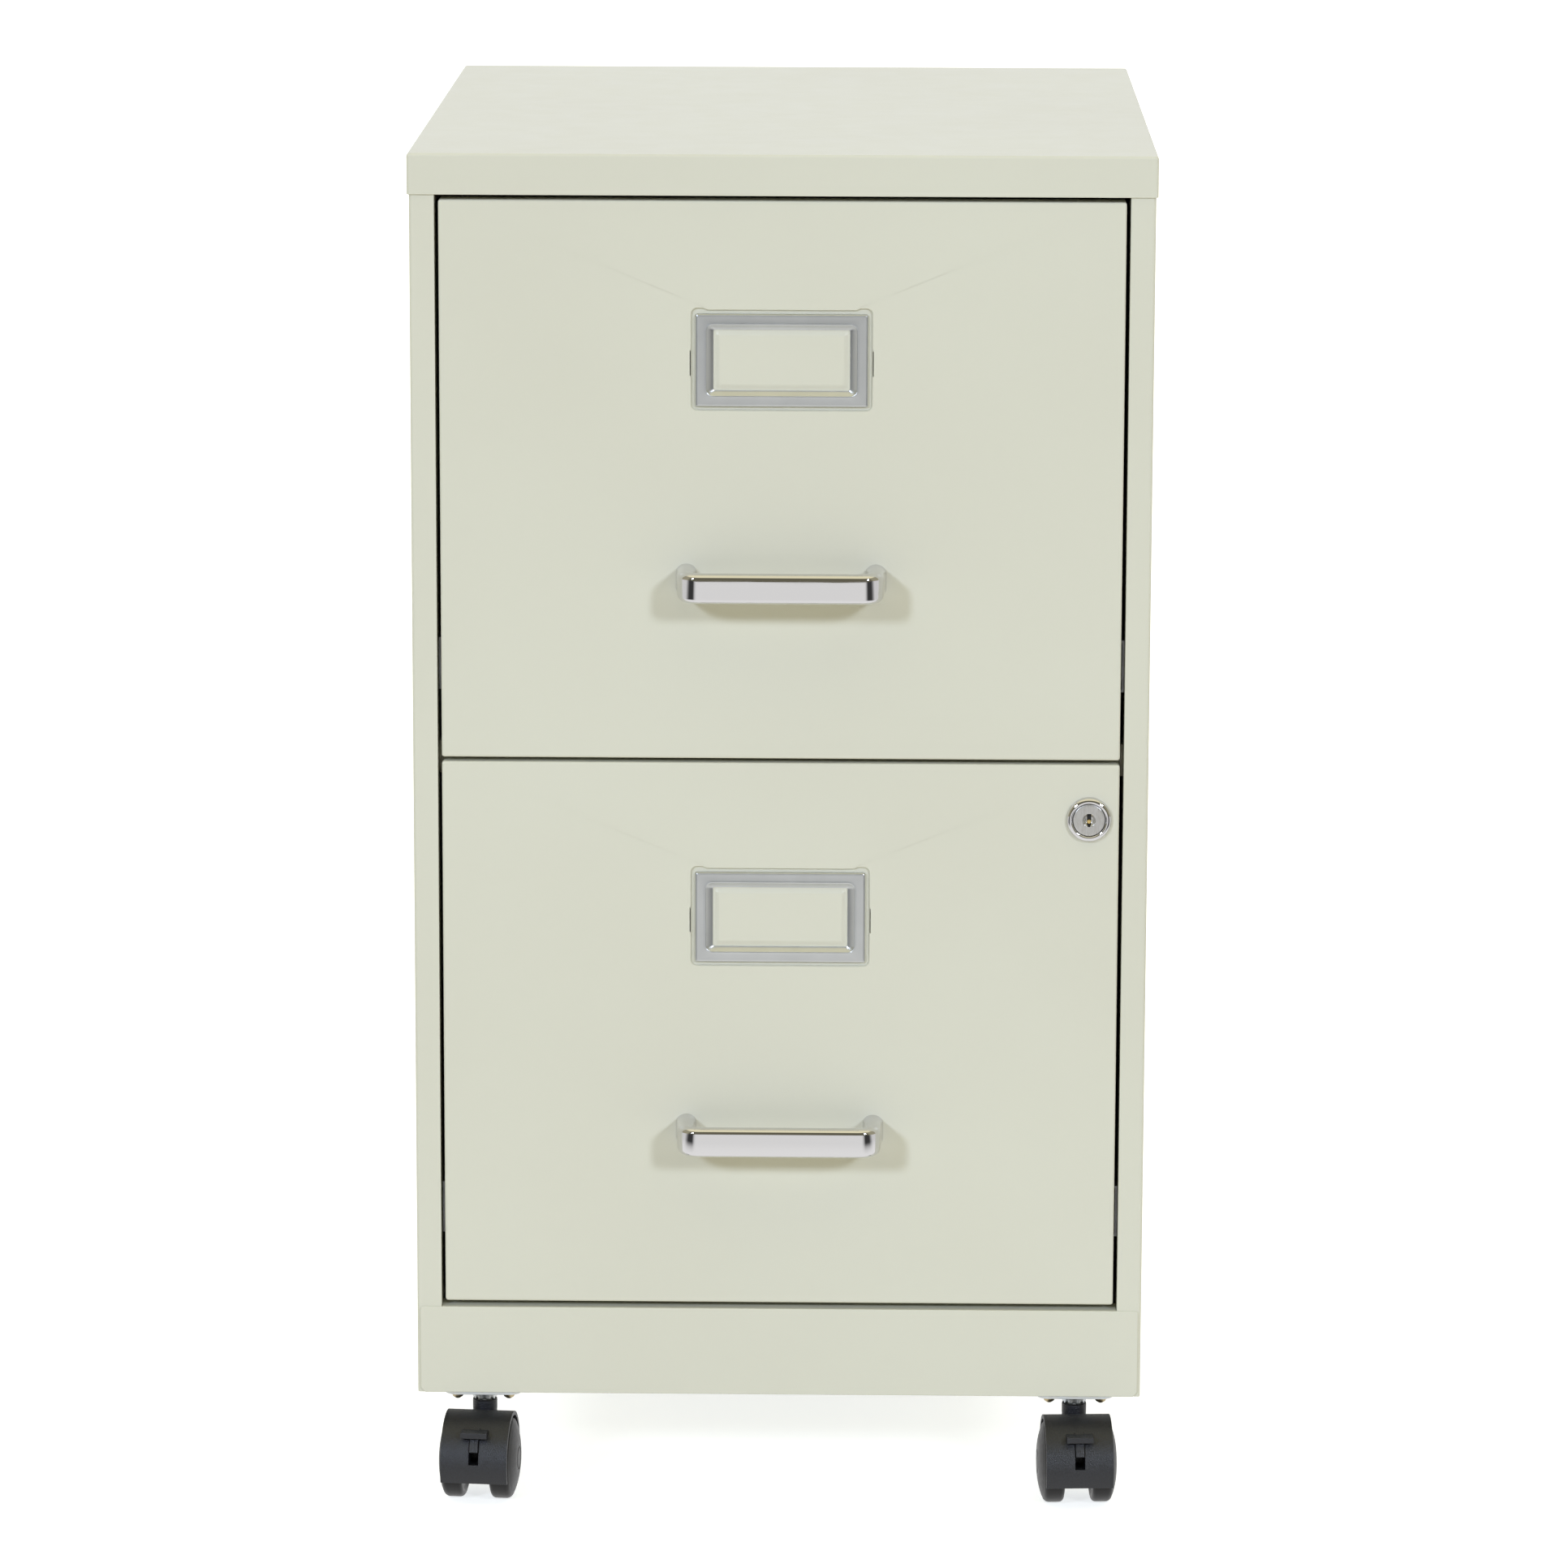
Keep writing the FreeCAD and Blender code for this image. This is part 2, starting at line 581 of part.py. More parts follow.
def make_cabinet_runners():
    """Four channels on the columns and posts, each with the pin of its front roller."""
    web = f"({OPENING} - runner_sheet)"
    inner = f"({OPENING} - runner_width)"
    body = new_body("cabinet_runners")
    for base in LEVELS.values():
        low = f"{base} + runner_centre - runner_half"
        high = f"{base} + runner_centre + runner_half"
        profile = [
            (OPENING, low),
            (OPENING, high),
            (inner, high),
            (inner, f"{high} - runner_sheet"),
            (web, f"{high} - runner_sheet"),
            (web, f"{low} + runner_sheet"),
            (inner, f"{low} + runner_sheet"),
            (inner, low),
        ]
        pad(body, "XZ", both_sides([profile]), f"{FACE} + runner_start", "cab_depth - post_inset")
        tip = f"({web} - roller_width - 2 * runner_gap - roller_pin_head_tall)"
        add_roller_pins(body, f"{FACE} + {FRONT_ROLLER_Y}", f"{base} + {FRONT_ROLLER_Z}", web, tip)
    place_on_shell(body)


def make_drawer_runners(level):
    """A pair of flanged strips on the tray's sides, each with the pin of its rear roller."""
    body = new_body(f"{level}_drawer_runners")
    web = f"({TRAY_HALF} + runner_sheet)"
    flange_edge = f"{TRAY_HALF} + slide_flange_width"
    web_low = "runner_centre - runner_half + runner_sheet"
    strip = rectangle(TRAY_HALF, web_low, web, SLIDE_FLANGE_TOP)
    pad(body, "XZ", both_sides([strip]), "runner_start", TRAY_LENGTH)
    flange = rectangle(f"{TRAY_HALF} + runner_sheet / 2", f"{SLIDE_FLANGE_TOP} - runner_sheet",
                       flange_edge, SLIDE_FLANGE_TOP)
    flange_end = f"{REAR_ROLLER_Y} - {REAR_ROLLER_RADIUS} - 2"
    pad(body, "XZ", both_sides([flange]), "runner_start", flange_end)
    tip = f"({web} + roller_width + 2 * runner_gap + roller_pin_head_tall)"
    add_roller_pins(body, REAR_ROLLER_Y, "runner_centre", web, tip)
    place_on_drawer(body, level)


def make_roller(label, radius, middle, y, z, place_it):
    """A plain roller with a bore that runs on its pin."""
    body = new_body(label)
    bore = "roller_pin_radius + pin_gap"
    rings = [(y, z, radius), (y, z, bore)]
    pad(body, "YZ", rings, f"{middle} - roller_width / 2", f"{middle} + roller_width / 2")
    place_it(body)


def make_rollers(level):
    """A fixed roller under each drawer runner's front and a moving one at each drawer runner's end."""
    fixed_middle = f"({OPENING} - runner_sheet - runner_gap - roller_width / 2)"
    moving_middle = f"({TRAY_HALF} + runner_sheet + runner_gap + roller_width / 2)"
    for side, sign in SIDES.items():
        make_roller(f"{level}_{side}_cabinet_roller", "roller_radius", f"{sign} * {fixed_middle}",
                    f"{FACE} + {FRONT_ROLLER_Y}", f"{LEVELS[level]} + {FRONT_ROLLER_Z}", place_on_shell)
        make_roller(f"{level}_{side}_drawer_roller", REAR_ROLLER_RADIUS, f"{sign} * {moving_middle}",
                    REAR_ROLLER_Y, "runner_centre", lambda body: place_on_drawer(body, level))


# ---- drawers ---------------------------------------------------------------------------------

def make_drawer_front(level):
    """A folded pan with a stamped label recess and holes for the handle and, below, the lock."""
    body = new_body(f"{level}_drawer_front")
    outline = rectangle(minus(FRONT_HALF), "0", FRONT_HALF, FRONT_HEIGHT)
    pad(body, "XZ", [outline], "0", "front_depth")
    depth = number("front_depth")
    dress(body, "Fillet", lambda e: runs_along(e, "Y") or e.BoundBox.YMax < depth / 2, "front_radius")
    edge = f"({FRONT_HALF} - drawer_sheet)"
    inside = rectangle(minus(edge), "drawer_sheet", edge, f"{FRONT_HEIGHT} - drawer_sheet")
    pocket(body, "XZ", [inside], "drawer_sheet", "front_depth")
    wall = "2 * drawer_sheet"
    backing = box_about("0", LABEL_Z, f"(recess_width + {wall})", f"(recess_height + {wall})")
    pad(body, "XZ", [backing], "drawer_sheet / 2", f"recess_depth + drawer_sheet")
    recess = box_about("0", LABEL_Z, "recess_width", "recess_height")
    pocket(body, "XZ", [recess], "0", "recess_depth")
    margin = "2 * window_gap"
    raised = box_about("0", LABEL_Z, f"(window_width - {margin})", f"(window_height - {margin})")
    pad(body, "XZ", [raised], f"recess_depth - plateau_rise", f"recess_depth + drawer_sheet / 2")
    holes = both_sides([("handle_centres / 2", "handle_centre", "handle_screw_radius + screw_gap")])
    if level == "lower":
        holes.append((LOCK_X, LOCK_Z, "barrel_radius + screw_gap"))
    pocket(body, "XZ", holes, "0", "drawer_sheet")
    place_on_drawer(body, level)


def make_drawer_tray(level):
    """The floor and sides of a drawer folded from one sheet, with rolled rims for hanging files."""
    body = new_body(f"{level}_drawer_tray")
    rim = f"{TRAY_HALF} + tray_rim"
    right = [
        (TRAY_HALF, "tray_floor"),
        (TRAY_HALF, f"{TRAY_TOP} - drawer_sheet"),
        (f"{rim} - drawer_sheet", f"{TRAY_TOP} - drawer_sheet"),
        (f"{rim} - drawer_sheet", f"{TRAY_TOP} - tray_rim_lip"),
        (rim, f"{TRAY_TOP} - tray_rim_lip"),
        (rim, TRAY_TOP),
        (f"{TRAY_HALF} - drawer_sheet", TRAY_TOP),
        (f"{TRAY_HALF} - drawer_sheet", "tray_floor + drawer_sheet"),
    ]
    left = [(minus(x), z) for x, z in reversed(right)]
    pad(body, "XZ", [right + left], "drawer_sheet", TRAY_LENGTH)
    notch = rectangle(f"-({rim}) - 1", f"{TRAY_TOP} - tray_notch_drop", f"{rim} + 1", f"{TRAY_TOP} + 1")
    pocket(body, "XZ", [notch], "drawer_sheet", "tray_notch_depth")
    place_on_drawer(body, level)


def make_drawer_back(level):
    body = new_body(f"{level}_drawer_back")
    low = "tray_floor + drawer_sheet"
    high = f"{TRAY_TOP} - back_drop"
    back = TRAY_LENGTH
    front = f"{back} - drawer_sheet"
    fold = f"{back} - back_fold"
    profile = [
        (front, low),
        (back, low),
        (back, high),
        (fold, high),
        (fold, f"{high} - drawer_sheet"),
        (front, f"{high} - drawer_sheet"),
    ]
    edge = f"({TRAY_HALF} - drawer_sheet)"
    pad(body, "YZ", [profile], minus(edge), edge)
    place_on_drawer(body, level)


def make_handle(level):
    """A flat bar bent into an arch, with blind screw holes in its legs."""
    body = new_body(f"{level}_handle")
    half = "handle_span / 2"
    leg = f"({half} - handle_leg)"
    inner = "-handle_reach + handle_bar"
    arch = [
        (half, "0"),
        (leg, "0"),
        (leg, inner),
        (minus(leg), inner),
        (minus(leg), "0"),
        (minus(half), "0"),
        (minus(half), "-handle_reach"),
        (half, "-handle_reach"),
    ]
    pad(body, "XY", [arch], "-handle_tall / 2", "handle_tall / 2")
    dress(body, "Fillet", lambda e: runs_along(e, "Z") and e.BoundBox.YMax < -1, "handle_corner")
    reach = number("handle_reach")
    dress(body, "Fillet", lambda e: runs_along(e, "X") and near(e.BoundBox.YMin, -reach), "handle_edge")
    holes = both_sides([("handle_centres / 2", "0", "handle_screw_radius + screw_gap")])
    pocket(body, "XZ", holes, "-handle_screw_grip - 1", "0")
    place_on_drawer(body, level, z="handle_centre")


def make_handle_screws(level):
    body = new_body(f"{level}_handle_screws")
    shank = both_sides([("handle_centres / 2", "0", "handle_screw_radius")])
    pad(body, "XZ", shank, "-handle_screw_grip", "drawer_sheet + handle_screw_head_tall / 2")
    head = both_sides([("handle_centres / 2", "0", "handle_screw_head")])
    pad(body, "XZ", head, "drawer_sheet", "drawer_sheet + handle_screw_head_tall")
    place_on_drawer(body, level, z="handle_centre")


def make_label_frame(level):
    body = new_body(f"{level}_label_frame")
    frame = box_about("0", "0", "label_width", "label_height")
    window = box_about("0", "0", "window_width", "window_height")
    pad(body, "XZ", [frame, window], "-label_proud", "recess_depth")
    place_on_drawer(body, level, z=LABEL_Z)


def make_drawer(level):
    make_drawer_front(level)
    make_drawer_tray(level)
    make_drawer_back(level)
    make_drawer_runners(level)
    make_handle(level)
    make_handle_screws(level)
    make_label_frame(level)
    make_rollers(level)


# ---- lock ------------------------------------------------------------------------------------

def place_on_lock(body):
    place_on_drawer(body, "lower", x=LOCK_X, z=LOCK_Z)


def make_lock_barrel():
    body = new_body("lock_barrel")
    bore = "plug_radius + pin_gap"
    outline = [
        (bore, "-bezel_proud"),
        ("bezel_radius - 1", "-bezel_proud"),
        ("bezel_radius", "-bezel_proud / 2"),
        ("bezel_radius", "0"),
        ("barrel_radius", "0"),
        ("barrel_radius", "barrel_length"),
        (bore, "barrel_length"),
    ]
    revolve(body, "XY", outline, "Y")
    place_on_lock(body)


def make_lock_nut():
    body = new_body("lock_nut")
    rings = [("0", "0", "nut_radius"), ("0", "0", "barrel_radius + pin_gap")]
    pad(body, "XZ", rings, "drawer_sheet", "drawer_sheet + nut_tall")
    place_on_lock(body)


def make_lock_plug():
    body = new_body("lock_plug")
    pad(body, "XZ", [("0", "0", "plug_radius")], "-bezel_proud + plug_recess", CAM_Y)
    tang = box_about("0", "0", "tang_size", "tang_size")
    pad(body, "XZ", [tang], f"{CAM_Y} - 1", f"{CAM_Y} + cam_sheet")
    keyway = box_about("0", "0", "keyway_wide", "keyway_tall")
    pocket(body, "XZ", [keyway], "-bezel_proud + plug_recess", "keyway_deep - bezel_proud")
    place_on_lock(body)


def make_lock_cam():
    """A flat arm that lies across the drawer when unlocked and turns up behind the middle rail."""
    body = new_body("lock_cam")
    arm = rectangle("-cam_reach", "-cam_wide / 2", "cam_wide / 2", "cam_wide / 2")
    hole = box_about("0", "0", "(tang_size + screw_gap)", "(tang_size + screw_gap)")
    pad(body, "XZ", [arm, hole], CAM_Y, f"{CAM_Y} + cam_sheet")

    def end_corner(edge):
        return runs_along(edge, "Y") and near(abs(edge.BoundBox.ZMin), "cam_wide / 2")

    dress(body, "Fillet", end_corner, "cam_wide / 3")
    place_on_lock(body)


def make_lock_cam_screw():
    body = new_body("lock_cam_screw")
    start = f"({CAM_Y} + cam_sheet)"
    pad(body, "XZ", [("0", "0", "cam_screw_radius")], start, f"{start} + cam_screw_tall")
    place_on_lock(body)


def make_lock():
    make_lock_barrel()
    make_lock_nut()
    make_lock_plug()
    make_lock_cam()
    make_lock_cam_screw()


# ---- casters ---------------------------------------------------------------------------------

def make_caster_plates():
    body = new_body("caster_plates")
    plates = [box_about(x, y, "plate_size", "plate_size") for x, y in caster_centres()]
    pad(body, "XY", plates, "-plate_thick", "0")
    dress(body, "Fillet", lambda e: runs_along(e, "Z"), "plate_corner")
    holes = plate_screw_circles("plate_screw_radius + screw_gap")
    holes += [(x, y, "stem_radius + 5 * pin_gap") for x, y in caster_centres()]
    pocket(body, "XY", holes, "-plate_thick", "0")
    place_on_shell(body)


def make_caster_bearings():
    """The collar under each plate, in which the stem turns."""
    body = new_body("caster_bearings")
    radii = ("collar_radius", "stem_radius + pin_gap")
    rings = [(x, y, radius) for x, y in caster_centres() for radius in radii]
    pad(body, "XY", rings, f"{NECK_TOP} + collar_gap - caster_height", "-plate_thick")
    place_on_shell(body)


def make_caster_plate_screws():
    body = new_body("caster_plate_screws")
    heads = plate_screw_circles("plate_screw_head")
    pad(body, "XY", heads, "-plate_thick - plate_screw_head_tall", "-plate_thick")
    pad(body, "XY", plate_screw_circles("plate_screw_radius"), "-plate_thick - 1", "plate_screw_grip")
    place_on_shell(body)


def make_caster_hood(corner):
    """The swivelling body: a middle web, a cover over both wheels and a neck for the stem."""
    body = new_body(f"{corner}_caster_hood")
    axle = ("-caster_trail", "wheel_radius")
    half = "hood_half"
    pad(body, "YZ", [(*axle, HOOD_RADIUS)], minus(half), half)
    pad(body, "XY", [("0", "0", "neck_radius")], "wheel_radius", NECK_TOP)
    well = (*axle, "wheel_radius + hood_gap")
    pocket(body, "YZ", [well], minus(half), "-hood_web / 2")
    pocket(body, "YZ", [well], "hood_web / 2", half)
    below = rectangle(f"-caster_trail - {HOOD_RADIUS} - 1", "-hood_wall - 2", f"{HOOD_RADIUS}", "hood_skirt")
    pocket(body, "YZ", [below], minus(half), half)
    behind = rectangle("-caster_trail + axle_radius * 2", "0", f"{HOOD_RADIUS}", "hood_rear_skirt")
    pocket(body, "YZ", [behind], minus(half), half)
    pocket(body, "YZ", [(*axle, "axle_radius")], minus(half), half)
    pocket(body, "XY", [("0", "0", "stem_radius")], "stem_bottom", NECK_TOP)
    if corner.startswith("front"):
        front = f"-caster_trail - {HOOD_RADIUS}"
        deep = f"-caster_trail - {HOOD_RADIUS} * cos(slot_high) + slot_deep"
        low = f"wheel_radius + {HOOD_RADIUS} * sin(slot_low)"
        high = f"wheel_radius + {HOOD_RADIUS} * sin(slot_high)"
        slot = rectangle(f"{front} - 1", low, deep, high)
        pocket(body, "YZ", [slot], "-slot_wide / 2", "slot_wide / 2")
    place_on_caster(body, corner)


def make_caster_wheels(corner):
    for side, sign in SIDES.items():
        body = new_body(f"{corner}_caster_{side}_wheel")
        bore = "axle_radius + pin_gap"
        shoulder = "hood_half"
        half_outline = [
            ("wheel_inner", bore),
            ("wheel_inner", "wheel_radius - wheel_edge"),
            ("wheel_inner + wheel_edge", "wheel_radius"),
            (f"{shoulder} - wheel_edge / 2", "wheel_radius"),
            (f"{shoulder} + wheel_edge", "wheel_radius * 0.92"),
            ("wheel_outer - wheel_edge / 2", "wheel_radius * 0.66"),
            ("wheel_outer", "wheel_radius * 0.33"),
            ("wheel_outer", "0"),
            ("axle_half + 2 * hood_gap", "0"),
            ("axle_half + 2 * hood_gap", bore),
        ]
        outline = [(x if sign > 0 else minus(x), r) for x, r in half_outline]
        revolve(body, "XY", outline, "X")
        place_wheel(body, corner)


def place_wheel(body, corner):
    """Wheels are drawn about their axle, which lies ahead of the stem in the caster's own turn."""
    x, y, turn = CASTERS[corner]
    forward_x = f"{x} + caster_trail * sin({turn})"
    forward_y = f"{y} - caster_trail * cos({turn})"
    place(body, x=forward_x, y=forward_y, z="wheel_radius", turn=turn)


def make_caster_pins(corner):
    """The upright stem and the wheels' axle, two pins held by the hood."""
    body = new_body(f"{corner}_caster_pins")
    pad(body, "XY", [("0", "0", "stem_radius")], "stem_bottom", "caster_height - stem_gap")
    pad(body, "YZ", [("-caster_trail", "wheel_radius", "axle_radius")], "-axle_half", "axle_half")
    place_on_caster(body, corner)


def arc_band(inner, outer, low, high, steps):
    """A band about the axle, in front of it, between two angles above the axle's level."""
    def at(radius, angle):
        return (f"-caster_trail - ({radius}) * cos({angle})", f"wheel_radius + ({radius}) * sin({angle})")

    angles = [f"({low} + ({high} - {low}) * {i} / {steps})" for i in range(steps + 1)]
    return [at(inner, a) for a in angles] + [at(outer, a) for a in reversed(angles)]


def make_brake_lever(corner):
    """A tab outside the hood on a curved stem that slides in the hood's slot about the axle."""
    body = new_body(f"{corner}_brake_lever")
    clear = f"{HOOD_RADIUS} + brake_gap"
    stem = arc_band(f"{HOOD_RADIUS} - hood_wall + brake_gap", f"{clear} + 1",
                    "brake_stem_low", "brake_tab_high", steps=4)
    stem_half = "slot_wide / 2 - brake_gap"
    pad(body, "YZ", [stem], minus(stem_half), stem_half)
    low, high = (
        (f"-caster_trail - ({clear}) * cos({angle})", f"wheel_radius + ({clear}) * sin({angle})")
        for angle in ("brake_tab_low", "brake_tab_high")
    )
    front = f"{high[0]} - brake_tab_long"
    tab = [low, high, (front, high[1]), (front, low[1])]
    pad(body, "YZ", [tab], "-brake_tab_wide / 2", "brake_tab_wide / 2")
    place_on_caster(body, corner)


def make_caster(corner):
    make_caster_hood(corner)
    make_caster_wheels(corner)
    make_caster_pins(corner)
    if corner.startswith("front"):
        make_brake_lever(corner)


# ---- build, check and write ------------------------------------------------------------------

make_top_cap()
make_side_panels()
make_back_panel()
make_bottom_pan()
make_base_front_panel()
make_cross_rails()
make_rear_runner_posts()
make_caster_channels()
make_cabinet_runners()
for level in LEVELS:
    make_drawer(level)
make_lock()
make_caster_plates()
make_caster_bearings()
make_caster_plate_screws()
for corner in CASTERS:
    make_caster(corner)
doc.recompute()

failed = [thing.Label for thing in doc.Objects if {"Invalid", "Error"} & set(thing.State)]
failed += [node.Label for node in nodes if node.Shape.isNull() or not node.Shape.isValid()]
if failed:
    raise RuntimeError(f"objects that failed: {failed}")

os.makedirs("parts", exist_ok=True)
for node in nodes:
    node.Shape.exportStep(f"parts/{node.Label}.step")
print(f"{len(nodes)} nodes written")
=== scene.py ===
import json
import math

import bmesh
import bpy
from mathutils import Matrix, Vector


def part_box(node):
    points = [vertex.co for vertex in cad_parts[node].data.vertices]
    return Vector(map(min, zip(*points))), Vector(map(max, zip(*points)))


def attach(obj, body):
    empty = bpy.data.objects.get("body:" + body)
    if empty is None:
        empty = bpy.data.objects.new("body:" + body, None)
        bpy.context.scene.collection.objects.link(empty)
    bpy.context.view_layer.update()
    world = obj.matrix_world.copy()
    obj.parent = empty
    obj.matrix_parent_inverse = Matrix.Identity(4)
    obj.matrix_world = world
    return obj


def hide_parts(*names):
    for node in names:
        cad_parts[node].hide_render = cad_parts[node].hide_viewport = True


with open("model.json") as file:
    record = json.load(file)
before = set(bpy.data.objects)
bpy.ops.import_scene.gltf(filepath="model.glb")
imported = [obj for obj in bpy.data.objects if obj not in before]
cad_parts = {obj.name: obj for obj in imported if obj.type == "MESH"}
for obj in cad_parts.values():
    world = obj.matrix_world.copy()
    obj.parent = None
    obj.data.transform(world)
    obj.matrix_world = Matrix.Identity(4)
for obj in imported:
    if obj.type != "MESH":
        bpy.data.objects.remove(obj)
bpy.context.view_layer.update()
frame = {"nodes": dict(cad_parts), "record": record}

# Two-drawer steel filing cabinet: cream powder coat, chrome pulls and lock, satin label frames and
# black twin-wheel casters. Lengths are metres; MM turns millimetres into them.

MM = 0.001
LEVELS = ("lower", "upper")
CORNERS = ("front_left", "front_right", "rear_left", "rear_right")


def joint(name):
    """A joint's entry in the record."""
    return next(j for j in frame["record"]["behaviour"]["joints"] if j["name"] == name)


def smooth_share(share):
    """A share from 0 to 1, eased at both ends."""
    return share * share * (3 - 2 * share)


# ---- mesh helpers ----------------------------------------------------------------------------

def mesh_object(name, bm, material, sharp=35):
    """A finished object from a bmesh, smooth except at edges sharper than an angle."""
    mesh = bpy.data.meshes.new(name)
    bm.to_mesh(mesh)
    bm.free()
    mesh.materials.append(material)
    mesh.shade_smooth()
    mesh.set_sharp_from_angle(angle=math.radians(sharp))
    thing = bpy.data.objects.new(name, mesh)
    bpy.context.scene.collection.objects.link(thing)
    return thing


def keep_flats_flat(thing):
    """Weight the normals by face area, so that a flat stays flat beside its rounded edges."""
    modifier = thing.modifiers.new("weighted", "WEIGHTED_NORMAL")
    modifier.keep_sharp = True
    modifier.weight = 100


def bridge(bm, first, second):
    """Quads between two rings of the same number of vertices."""
    count = len(first)
    for i in range(count):
        j = (i + 1) % count
        bm.faces.new((first[i], first[j], second[j], second[i]))


def ring_mesh(rings, closed=False):
    """A skin over rings of points: capped at both ends, or joined round from the last to the first."""
    bm = bmesh.new()
    rows = [[bm.verts.new(p) for p in ring] for ring in rings]
    for first, second in zip(rows, rows[1:]):
        bridge(bm, first, second)
    if closed:
        bridge(bm, rows[-1], rows[0])
    else:
        bm.faces.new(rows[0])
        bm.faces.new(list(reversed(rows[-1])))
    bmesh.ops.recalc_face_normals(bm, faces=bm.faces)
    return bm


def rounded_rectangle(width, height, radius, steps=6):
    """Points (a, b) anticlockwise round a rectangle with rounded corners, centred on the origin."""
    points = []
    for quarter, (sa, sb) in enumerate(((1, 1), (-1, 1), (-1, -1), (1, -1))):
        ca, cb = sa * (width / 2 - radius), sb * (height / 2 - radius)
        for i in range(steps + 1):
            turn = math.radians(90 * (quarter + i / steps))
            points.append((ca + radius * math.cos(turn), cb + radius * math.sin(turn)))
    return points


def facing_ring(centre, width, height, radius, y, steps=6):
    """A rounded rectangle seen from the front, at a depth y."""
    outline = rounded_rectangle(width, height, radius, steps)
    return [Vector((centre.x + a, y, centre.z + b)) for a, b in outline]


def eared_ring(centre, width, height, radius, y, ear=0.0, ear_wide=5 * MM, steps=6):
    """A facing ring whose two upper corners stand up by an ear, with a soft step down to the top edge."""
    corners = rounded_rectangle(width, height, radius, steps)
    per = steps + 1
    edge = width / 2 - radius
    steps_down = ((edge - 0.6 * ear_wide, ear), (edge - 0.8 * ear_wide, ear / 2), (edge - ear_wide, 0.0))
    right = [(a, b + ear) for a, b in corners[:per]]
    left = [(a, b + ear) for a, b in corners[per:2 * per]]
    top = [(a, height / 2 + rise) for a, rise in steps_down]
    points = right + top + [(-a, b) for a, b in reversed(top)] + left + corners[2 * per:]
    return [Vector((centre.x + a, y, centre.z + b)) for a, b in points]


def lathe(profile, centre, axis, segments=48, wobble=None):
    """A turned form from (distance along the axis, radius) pairs; a radius of 0 closes an end."""
    turn = Vector((0, 0, 1)).rotation_difference(axis).to_matrix()
    bm = bmesh.new()
    rows = []
    for along, radius in profile:
        if radius <= 0:
            rows.append([bm.verts.new(centre + turn @ Vector((0, 0, along)))])
            continue
        row = []
        for i in range(segments):
            angle = 2 * math.pi * i / segments
            shift = wobble(angle, along, radius) if wobble else (0, 0)
            r, h = radius + shift[0], along + shift[1]
            row.append(bm.verts.new(centre + turn @ Vector((r * math.cos(angle), r * math.sin(angle), h))))
        rows.append(row)
    for first, second in zip(rows, rows[1:]):
        if len(first) == len(second):
            bridge(bm, first, second)
            continue
        tip, ring = (first[0], second) if len(first) == 1 else (second[0], first)
        for i in range(len(ring)):
            bm.faces.new((ring[i], ring[(i + 1) % len(ring)], tip))
    if len(rows[0]) > 1 and len(rows[-1]) > 1:
        bridge(bm, rows[-1], rows[0])
    bmesh.ops.recalc_face_normals(bm, faces=bm.faces)
    return bm


def softened(node, material, width, segments=2):
    """A copy of a CAD node with its flats joined up and its edges rounded."""
    bm = bmesh.new()
    bm.from_mesh(frame["nodes"][node].data)
    bmesh.ops.remove_doubles(bm, verts=bm.verts, dist=0.004 * MM)
    bmesh.ops.dissolve_limit(bm, angle_limit=math.radians(1), verts=bm.verts, edges=bm.edges)
    thing = mesh_object(f"{node}_finished", bm, material)
    bevel = thing.modifiers.new("edges", "BEVEL")
    bevel.width = width
    bevel.segments = segments
    bevel.limit_method = "ANGLE"
    bevel.angle_limit = math.radians(40)
    keep_flats_flat(thing)
    return thing


# ---- material helpers ------------------------------------------------------------------------

def new_material(name, color, roughness, metallic=0.0):
    """A material with its Principled shader, and its nodes and links ready for textures."""
    material = bpy.data.materials.new(name)
    material.use_nodes = True
    nodes = material.node_tree.nodes
    shader = nodes["Principled BSDF"]
    shader.inputs["Base Color"].default_value = (*color, 1)
    shader.inputs["Roughness"].default_value = roughness
    shader.inputs["Metallic"].default_value = metallic
    return material, nodes, material.node_tree.links, shader


def textured(nodes, links, kind, scale, stretch=(1, 1, 1), **inputs):
    """A texture node on Object coordinates, scaled per metre."""
    place = nodes.new("ShaderNodeTexCoord")
    mapping = nodes.new("ShaderNodeMapping")
    mapping.inputs["Scale"].default_value = stretch
    texture = nodes.new(kind)
    texture.inputs["Scale"].default_value = scale
    for socket, value in inputs.items():
        texture.inputs[socket].default_value = value
    links.new(place.outputs["Object"], mapping.inputs["Vector"])
    links.new(mapping.outputs["Vector"], texture.inputs["Vector"])
    return texture


def ramp(nodes, links, source, low, high):
    """Map a texture's value from its usual spread to a range of numbers."""
    spread = nodes.new("ShaderNodeMapRange")
    spread.inputs["From Min"].default_value = 0.3
    spread.inputs["From Max"].default_value = 0.7
    spread.inputs["To Min"].default_value = low
    spread.inputs["To Max"].default_value = high
    links.new(source, spread.inputs["Value"])
    return spread.outputs["Result"]


def tint(nodes, links, source, first, second):
    """A colour between two, chosen by a texture's value."""
    mix = nodes.new("ShaderNodeMix")
    mix.data_type = "RGBA"
    mix.inputs["A"].default_value = (*first, 1)
    mix.inputs["B"].default_value = (*second, 1)
    links.new(ramp(nodes, links, source, 0.0, 1.0), mix.inputs["Factor"])
    return mix.outputs["Result"]


def bump(nodes, links, shader, layers):
    """Stack bumps: each layer is (height, strength, depth in metres)."""
    normal = None
    for height, strength, depth in layers:
        node = nodes.new("ShaderNodeBump")
        node.inputs["Strength"].default_value = strength
        node.inputs["Distance"].default_value = depth
        links.new(height, node.inputs["Height"])
        if normal:
            links.new(normal, node.inputs["Normal"])
        normal = node.outputs["Normal"]
    links.new(normal, shader.inputs["Normal"])


# ---- materials -------------------------------------------------------------------------------

